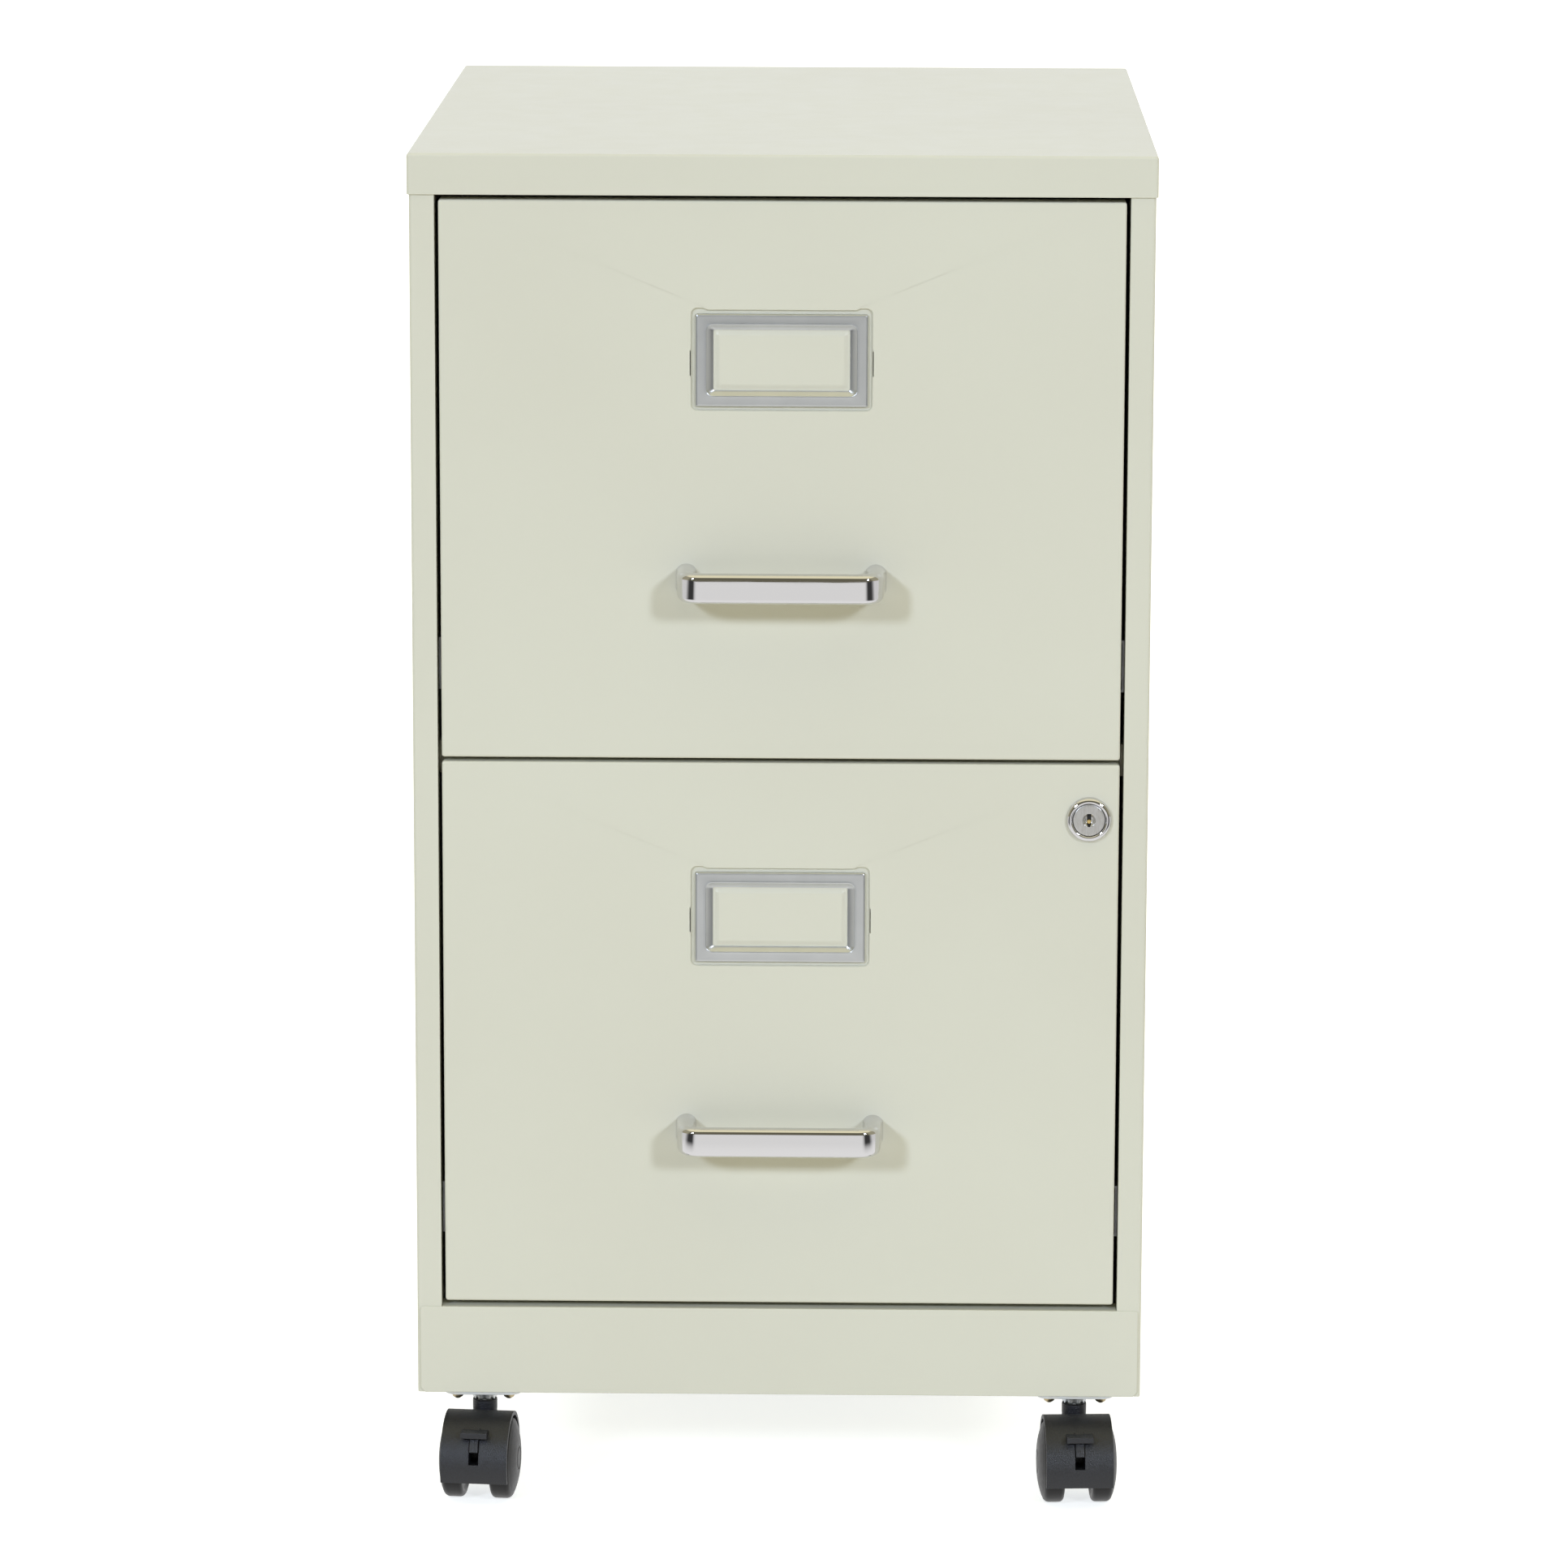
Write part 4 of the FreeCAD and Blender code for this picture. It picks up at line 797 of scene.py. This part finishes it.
def make_hood(corner):
    """The moulded hood, with rounded edges and the rings of its neck."""
    hood = softened(f"{corner}_caster_hood", NYLON, 0.9 * MM, segments=3)
    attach(hood, f"{corner}_caster")
    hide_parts(f"{corner}_caster_hood")

    stem = Vector(joint(f"{corner}_caster_swivel")["pos_m"])
    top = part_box(f"{corner}_caster_hood")[1].z
    within = NECK_RADIUS - 0.5 * MM
    profile = [(top - 0.3 * MM, NECK_BORE), (top - 0.3 * MM, within)]
    for i in range(NECK_RINGS):
        start = top - 0.7 * MM - i * NECK_RING_PITCH
        profile.append((start, NECK_RADIUS + 0.02 * MM))
        profile.append((start - 0.25 * MM, NECK_RADIUS + NECK_RING_PROUD))
        profile.append((start - 0.5 * MM, NECK_RADIUS + 0.02 * MM))
    profile += [(top - 5.2 * MM, within), (top - 5.2 * MM, NECK_BORE)]
    rings = lathe(profile, Vector((stem.x, stem.y, 0)), Vector((0, 0, 1)), 64)
    trim = mesh_object(f"{corner}_neck_rings", rings, NYLON, sharp=50)
    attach(trim, f"{corner}_caster")


def make_wheel(corner, side, axle, outward):
    """A moulded wheel: rounded tread, domed outer disc with a step and a hub cap."""
    low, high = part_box(f"{corner}_caster_{side}_wheel")
    radius = (high.z - low.z) / 2
    profile = wheel_tread(radius) + wheel_disc(radius)
    blind = WHEEL_INNER + WHEEL_BORE_DEEP
    closed = profile + [(blind, 0.0), (blind, WHEEL_BORE)]
    wheel = mesh_object(f"{corner}_{side}_twin_wheel", wheel_mesh(closed, axle, outward), TREAD, sharp=38)
    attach(wheel, f"{corner}_caster_{side}_wheel")
    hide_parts(f"{corner}_caster_{side}_wheel")


def wheel_tread(radius):
    """The wheel's section from its bore, over the recessed inner face, to the tread's outer shoulder."""
    inner = WHEEL_INNER
    profile = [
        (inner, WHEEL_BORE), (inner, radius * 0.5), (inner + 0.9 * MM, radius * 0.56),
        (inner + 0.9 * MM, radius * 0.78), (inner, radius * 0.84),
    ]
    for i in range(9):
        angle = math.radians(90 * i / 8)
        along = inner + TREAD_CORNER * (1 - math.cos(angle))
        profile.append((along, radius - TREAD_CORNER * (1 - math.sin(angle))))
    edge = inner + TREAD_WIDE
    profile.append((edge, radius))
    for i in range(1, 7):
        angle = math.radians(70 * i / 6)
        along = edge + TREAD_SHOULDER * math.sin(angle)
        profile.append((along, radius - TREAD_SHOULDER * (1 - math.cos(angle))))
    return profile


def wheel_disc(radius):
    """The rest of the section: a fine step, the domed disc, and the hub cap in its own groove."""
    outer = WHEEL_OUTER
    rim, rim_radius = wheel_tread(radius)[-1]
    profile = [(rim + 0.1 * MM, rim_radius - 0.35 * MM)]
    for i in range(1, 13):
        share = i / 12
        dome = math.sin(math.radians(90 * share)) ** 0.9
        along = rim + 0.25 * MM + (outer - 0.4 * MM - rim) * dome
        profile.append((along, (rim_radius - 0.5 * MM) * (1 - share) + radius * 0.30 * share))
    return profile + [
        (outer - 0.45 * MM, radius * 0.285), (outer - 0.45 * MM, radius * 0.26),
        (outer - 0.1 * MM, radius * 0.245), (outer, radius * 0.15), (outer, 0.0),
    ]


def wheel_mesh(profile, axle, outward):
    """The wheel's outer skin and its blind bore, joined at the inner face."""
    split = next(i for i, (_, radius) in enumerate(profile) if radius == 0.0)
    outside = lathe(profile[:split + 1], axle, outward, WHEEL_SEGMENTS)
    bore = lathe(profile[split + 1:] + profile[:1], axle, outward, WHEEL_SEGMENTS)
    add_mesh(outside, bore)
    bmesh.ops.remove_doubles(outside, verts=outside.verts, dist=0.001 * MM)
    bmesh.ops.recalc_face_normals(outside, faces=outside.faces)
    return outside


def add_mesh(bm, other):
    """Move another bmesh's faces into this one."""
    scrap = bpy.data.meshes.new("scrap")
    other.to_mesh(scrap)
    other.free()
    bm.from_mesh(scrap)
    bpy.data.meshes.remove(scrap)


COLLAR_BORE = 4.1 * MM
COLLAR_RADIUS = 6.25 * MM
CRIMPS = 10
CRIMP_TALL = 3.6 * MM
CRIMP_DEEP = 0.4 * MM
CRIMP_RISE = 0.7 * MM


def make_collars():
    """The bearing collars under the plates, crimped into scallops round their lower edges."""
    low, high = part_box("caster_bearings")
    top, bottom = high.z, low.z
    bore, outer = COLLAR_BORE, COLLAR_RADIUS

    def scallop(angle, along, radius):
        depth = max(0.0, 1 - (along - bottom) / CRIMP_TALL)
        wave = 0.5 - 0.5 * math.cos(CRIMPS * angle)
        inward = -CRIMP_DEEP * depth * wave if radius > 5 * MM else 0.0
        return inward, CRIMP_RISE * depth * wave

    profile = [
        (top, bore), (top, outer - 0.3 * MM), (top - 0.15 * MM, outer - 0.08 * MM), (top - 0.4 * MM, outer),
        (bottom + 3.7 * MM, outer), (bottom + 3.3 * MM, outer - 0.04 * MM),
        (bottom + 2.5 * MM, outer - 0.1 * MM), (bottom + 1.6 * MM, outer - 0.22 * MM),
        (bottom + 0.9 * MM, outer - 0.2 * MM),
        (bottom + 0.3 * MM, outer - 0.3 * MM), (bottom, outer - 0.6 * MM), (bottom, bore),
    ]
    joined = bmesh.new()
    for corner in CORNERS:
        x, y, _ = joint(f"{corner}_caster_swivel")["pos_m"]
        add_mesh(joined, lathe(profile, Vector((x, y, 0)), Vector((0, 0, 1)), 120, scallop))
    collars = mesh_object("crimped_collars", joined, ZINC, sharp=50)
    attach(collars, "cabinet")
    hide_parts("caster_bearings")


# ---- rollers ---------------------------------------------------------------------------------

ROLLER_BORE = 3.1 * MM
ROLLER_SLEEVE = 1.4 * MM


def make_roller(name):
    """A nylon roller with rounded rims, a dished face on each side and a sleeve round its pin."""
    low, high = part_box(name)
    centre, size = (low + high) / 2, high - low
    radius, half = size.z / 2, size.x / 2
    bore = ROLLER_BORE
    side = [
        (half, bore), (half, bore + ROLLER_SLEEVE), (half - 0.8 * MM, bore + 2.0 * MM),
        (half - 0.8 * MM, radius - 2.6 * MM), (half - 0.1 * MM, radius - 1.9 * MM),
        (half - 0.1 * MM, radius - 0.9 * MM), (half - 0.35 * MM, radius - 0.3 * MM),
        (half - 1.0 * MM, radius),
    ]
    profile = side + [(-along, distance) for along, distance in reversed(side)]
    turned = lathe(profile, centre, Vector((1, 0, 0)), 48)
    wheel = mesh_object(f"{name}_turned", turned, ROLLER_NYLON, sharp=35)
    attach(wheel, name)
    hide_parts(name)


# ---- screws (geometry nodes) -----------------------------------------------------------------

def screw_tree():
    """Screws at a mesh's vertices: one head for each, turned by a random angle about its own axis."""
    tree = bpy.data.node_groups.new("pan_head_screws", "GeometryNodeTree")
    sockets = (
        ("Places", "NodeSocketGeometry"),
        ("Head", "NodeSocketObject"),
        ("Finish", "NodeSocketMaterial"),
    )
    for name, kind in sockets:
        tree.interface.new_socket(name, in_out="INPUT", socket_type=kind)
    tree.interface.new_socket("Screws", in_out="OUTPUT", socket_type="NodeSocketGeometry")
    nodes, links = tree.nodes, tree.links
    source, target = nodes.new("NodeGroupInput"), nodes.new("NodeGroupOutput")
    head = nodes.new("GeometryNodeObjectInfo")
    spread = nodes.new("GeometryNodeInstanceOnPoints")
    turn = nodes.new("FunctionNodeRandomValue")
    turn.data_type = "FLOAT_VECTOR"
    turn.inputs["Min"].default_value = (0, 0, 0)
    turn.inputs["Max"].default_value = (0, 0, math.pi)
    turn.inputs["Seed"].default_value = 7
    rotate = nodes.new("FunctionNodeEulerToRotation")
    solid = nodes.new("GeometryNodeRealizeInstances")
    finish = nodes.new("GeometryNodeSetMaterial")
    links.new(source.outputs["Places"], spread.inputs["Points"])
    links.new(source.outputs["Head"], head.inputs["Object"])
    links.new(head.outputs["Geometry"], spread.inputs["Instance"])
    links.new(turn.outputs["Value"], rotate.inputs["Euler"])
    links.new(rotate.outputs["Rotation"], spread.inputs["Rotation"])
    links.new(spread.outputs["Instances"], solid.inputs["Geometry"])
    links.new(solid.outputs["Geometry"], finish.inputs["Geometry"])
    links.new(source.outputs["Finish"], finish.inputs["Material"])
    links.new(finish.outputs["Geometry"], target.inputs["Screws"])
    return tree


def set_input(tree, modifier, name, value):
    """Set a modifier's input by its socket's name, through the socket's identifier."""
    item = next(i for i in tree.interface.items_tree if i.name == name and i.in_out == "INPUT")
    modifier[item.identifier] = value


def screw_head(radius, height):
    """A domed head that hangs down from the origin."""
    profile = [(0.0, radius), (-0.25 * height, radius), (-0.7 * height, radius * 0.78),
               (-height, radius * 0.35), (-0.97 * height, 0.0)]
    bm = lathe(profile, Vector((0, 0, 0)), Vector((0, 0, 1)), 24)
    return mesh_object("screw_head", bm, YELLOW_ZINC)


SCREW_PITCH = 25.8 * MM
SCREW_RADIUS = 3.2 * MM


def make_plate_screws():
    """Four screws under each caster plate, as one piece."""
    low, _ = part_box("caster_plate_screws")
    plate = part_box("caster_plates")[0].z
    apart = (-SCREW_PITCH / 2, SCREW_PITCH / 2)
    bm = bmesh.new()
    for corner in CORNERS:
        x, y, _ = joint(f"{corner}_caster_swivel")["pos_m"]
        for dx in apart:
            for dy in apart:
                bm.verts.new((x + dx, y + dy, plate))
    screws = mesh_object("plate_screw_heads", bm, YELLOW_ZINC)
    head = screw_head(SCREW_RADIUS, plate - low.z)
    tree = screw_tree()
    modifier = screws.modifiers.new("screws", "NODES")
    modifier.node_group = tree
    set_input(tree, modifier, "Head", head)
    set_input(tree, modifier, "Finish", YELLOW_ZINC)
    bake_modifiers(screws)
    bpy.data.objects.remove(head)
    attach(screws, "cabinet")
    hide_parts("caster_plate_screws")


# ---- stage -----------------------------------------------------------------------------------

FLOOR_COLOR = (0.80, 0.77, 0.69)
FLOOR_GLOW = 0.75
FLOOR_HALF = 14


def make_floor():
    """A pale floor that is seen as a lit sweep, and reflected as one with the room's dark sides."""
    material, nodes, links, shader = new_material("pale_floor", FLOOR_COLOR, 0.8)
    shader.inputs["Emission Color"].default_value = (0.95, 0.98, 1.0, 1)
    path = nodes.new("ShaderNodeLightPath")
    glow = nodes.new("ShaderNodeMapRange")
    glow.inputs["To Min"].default_value = 0.0
    glow.inputs["To Max"].default_value = FLOOR_GLOW
    links.new(path.outputs["Is Camera Ray"], glow.inputs["Value"])
    links.new(glow.outputs["Result"], shader.inputs["Emission Strength"])
    mirror = nodes.new("ShaderNodeEmission")
    links.new(floor_reflection(nodes, links), mirror.inputs["Strength"])
    mix = nodes.new("ShaderNodeMixShader")
    links.new(path.outputs["Is Glossy Ray"], mix.inputs["Fac"])
    links.new(shader.outputs["BSDF"], mix.inputs[1])
    links.new(mirror.outputs["Emission"], mix.inputs[2])
    links.new(mix.outputs["Shader"], nodes["Material Output"].inputs["Surface"])
    bm = bmesh.new()
    bmesh.ops.create_grid(bm, x_segments=1, y_segments=1, size=FLOOR_HALF)
    floor = mesh_object("studio_floor", bm, material)


def floor_reflection(nodes, links):
    """How bright the floor is in reflections: bright close by, ahead and behind, dark between them."""
    place = nodes.new("ShaderNodeTexCoord")
    length = nodes.new("ShaderNodeVectorMath")
    length.operation = "LENGTH"
    links.new(place.outputs["Object"], length.inputs[0])
    unit = nodes.new("ShaderNodeVectorMath")
    unit.operation = "NORMALIZE"
    links.new(place.outputs["Object"], unit.inputs[0])
    split = nodes.new("ShaderNodeSeparateXYZ")
    links.new(unit.outputs["Vector"], split.inputs["Vector"])
    ahead = smooth_range(nodes, links, split.outputs["Y"], -0.87, -0.975)
    behind = smooth_range(nodes, links, split.outputs["Y"], -0.1, 0.4)
    beside = smooth_range(nodes, links, split.outputs["Y"], -0.72, -0.35)
    far = layered(nodes, links, layered(nodes, links, 0.05, ahead, 0.92), beside, 0.8)
    far = layered(nodes, links, far, behind, 1.0)
    near = smooth_range(nodes, links, length.outputs["Value"], 1.1, 0.6)
    return layered(nodes, links, far, near, 1.0)


def smooth_range(nodes, links, source, start, end):
    """A smooth rise from 0 to 1 as a value goes from start to end."""
    edge = nodes.new("ShaderNodeMapRange")
    edge.interpolation_type = "SMOOTHSTEP"
    edge.inputs["From Min"].default_value = start
    edge.inputs["From Max"].default_value = end
    links.new(source, edge.inputs["Value"])
    return edge.outputs["Result"]


KEY_SIDE = 33.0
KEY_RISE = 23.0
KEY_SPREAD = 8


def make_key(name, side, strength, color):
    """A distant softbox in front, above and to one side, with angles in degrees."""
    lamp = bpy.data.lights.new(name, "SUN")
    lamp.energy = strength
    lamp.angle = math.radians(KEY_SPREAD)
    lamp.color = color
    turn, rise = math.radians(side), math.radians(KEY_RISE)
    source = Vector((math.sin(turn) * math.cos(rise), -math.cos(turn) * math.cos(rise), math.sin(rise)))
    thing = bpy.data.objects.new(name, lamp)
    thing.rotation_euler = (-source).to_track_quat("-Z", "Y").to_euler()
    bpy.context.scene.collection.objects.link(thing)


def direction_mask(nodes, links, direction, start, end):
    """1 where the world's direction is near the given one, 0 away from it, by the cosine between them."""
    place = nodes.new("ShaderNodeTexCoord")
    dot = nodes.new("ShaderNodeVectorMath")
    dot.operation = "DOT_PRODUCT"
    dot.inputs[1].default_value = Vector(direction).normalized()
    links.new(place.outputs["Generated"], dot.inputs[0])
    return smooth_range(nodes, links, dot.outputs["Value"], start, end)


def layered(nodes, links, below, mask, value):
    """A number that turns from what is below to a value where the mask is 1."""
    mix = nodes.new("ShaderNodeMix")
    mix.data_type = "FLOAT"
    links.new(mask, mix.inputs[0])
    if isinstance(below, float):
        mix.inputs[2].default_value = below
    else:
        links.new(below, mix.inputs[2])
    mix.inputs[3].default_value = value
    return mix.outputs[0]


def make_world():
    """A studio: bright ceiling and backdrop, dimmer sides, and the dark room beyond the camera."""
    world = bpy.data.worlds.new("studio")
    bpy.context.scene.world = world
    world.use_nodes = True
    nodes, links = world.node_tree.nodes, world.node_tree.links
    light = layered(nodes, links, 0.40, direction_mask(nodes, links, (0, 1, 0), 0.2, 0.6), 1.0)
    light = layered(nodes, links, light, direction_mask(nodes, links, (0, -1, 0), 0.45, 0.7), 0.16)
    light = layered(nodes, links, light, direction_mask(nodes, links, (0, 0, 1), 0.68, 0.8), 1.0)
    path = nodes.new("ShaderNodeLightPath")
    light = layered(nodes, links, light, path.outputs["Is Camera Ray"], 0.95)
    shader = nodes["Background"]
    hue = nodes.new("ShaderNodeMix")
    hue.data_type = "RGBA"
    hue.inputs["A"].default_value = (1.0, 0.94, 0.66, 1)
    hue.inputs["B"].default_value = (0.96, 1.0, 1.10, 1)
    links.new(direction_mask(nodes, links, (0, 1, 0.1), 0.3, 0.8), hue.inputs["Factor"])
    backdrop = nodes.new("ShaderNodeMix")
    backdrop.data_type = "RGBA"
    links.new(path.outputs["Is Camera Ray"], backdrop.inputs["Factor"])
    links.new(hue.outputs["Result"], backdrop.inputs["A"])
    backdrop.inputs["B"].default_value = (1, 1, 1, 1)
    links.new(backdrop.outputs["Result"], shader.inputs["Color"])
    links.new(light, shader.inputs["Strength"])


def make_lights():
    """Two softboxes and the studio round them."""
    make_key("left_key", -KEY_SIDE, 1.02, (0.85, 0.96, 1.20))
    make_key("right_key", KEY_SIDE, 1.0, (0.87, 0.95, 1.12))
    make_world()


CAMERA_X, CAMERA_Y = 50.9 * MM, -3.46285
CAMERA_ABOVE_CAP = 345.5 * MM
CAMERA_YAW, CAMERA_PITCH, CAMERA_ROLL = -0.867, 11.408, 0.174
CAMERA_LENS = 154.6


def make_camera():
    """A long lens in front of the cabinet and a little above it."""
    data = bpy.data.cameras.new("camera")
    data.lens = CAMERA_LENS
    data.sensor_width = 36
    data.clip_end = 60
    camera = bpy.data.objects.new("camera", data)
    camera.location = (CAMERA_X, CAMERA_Y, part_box("top_cap")[1].z + CAMERA_ABOVE_CAP)
    camera.rotation_euler = look_rotation()
    bpy.context.scene.collection.objects.link(camera)
    bpy.context.scene.camera = camera


def look_rotation():
    """The camera's turn from its yaw to the right, its pitch down and its roll, in degrees."""
    yaw, pitch, roll = (math.radians(v) for v in (CAMERA_YAW, CAMERA_PITCH, CAMERA_ROLL))
    forward = Vector((math.sin(yaw) * math.cos(pitch), math.cos(yaw) * math.cos(pitch), -math.sin(pitch)))
    right = Vector((math.cos(yaw), -math.sin(yaw), 0))
    up = right.cross(forward)
    right, up = (math.cos(roll) * right + math.sin(roll) * up, -math.sin(roll) * right + math.cos(roll) * up)
    return Matrix((right, up, -forward)).transposed().to_euler()


finish_cad_nodes()
for node in ("top_cap", "left_side_panel", "right_side_panel", "base_front_panel"):
    make_panel(node)
for node, slot in SOFT_EDGED.items():
    make_soft_edged(node, slot)
for level in LEVELS:
    make_drawer_front(level)
    make_label_frame(level)
    make_handle(level)
make_lock()
for corner in CORNERS:
    make_caster(corner)
make_collars()
make_plate_screws()
for level in LEVELS:
    for side in ("left", "right"):
        make_roller(f"{level}_{side}_cabinet_roller")
        make_roller(f"{level}_{side}_drawer_roller")
make_floor()
make_lights()
make_camera()
bpy.context.scene.view_settings.view_transform = "Standard"
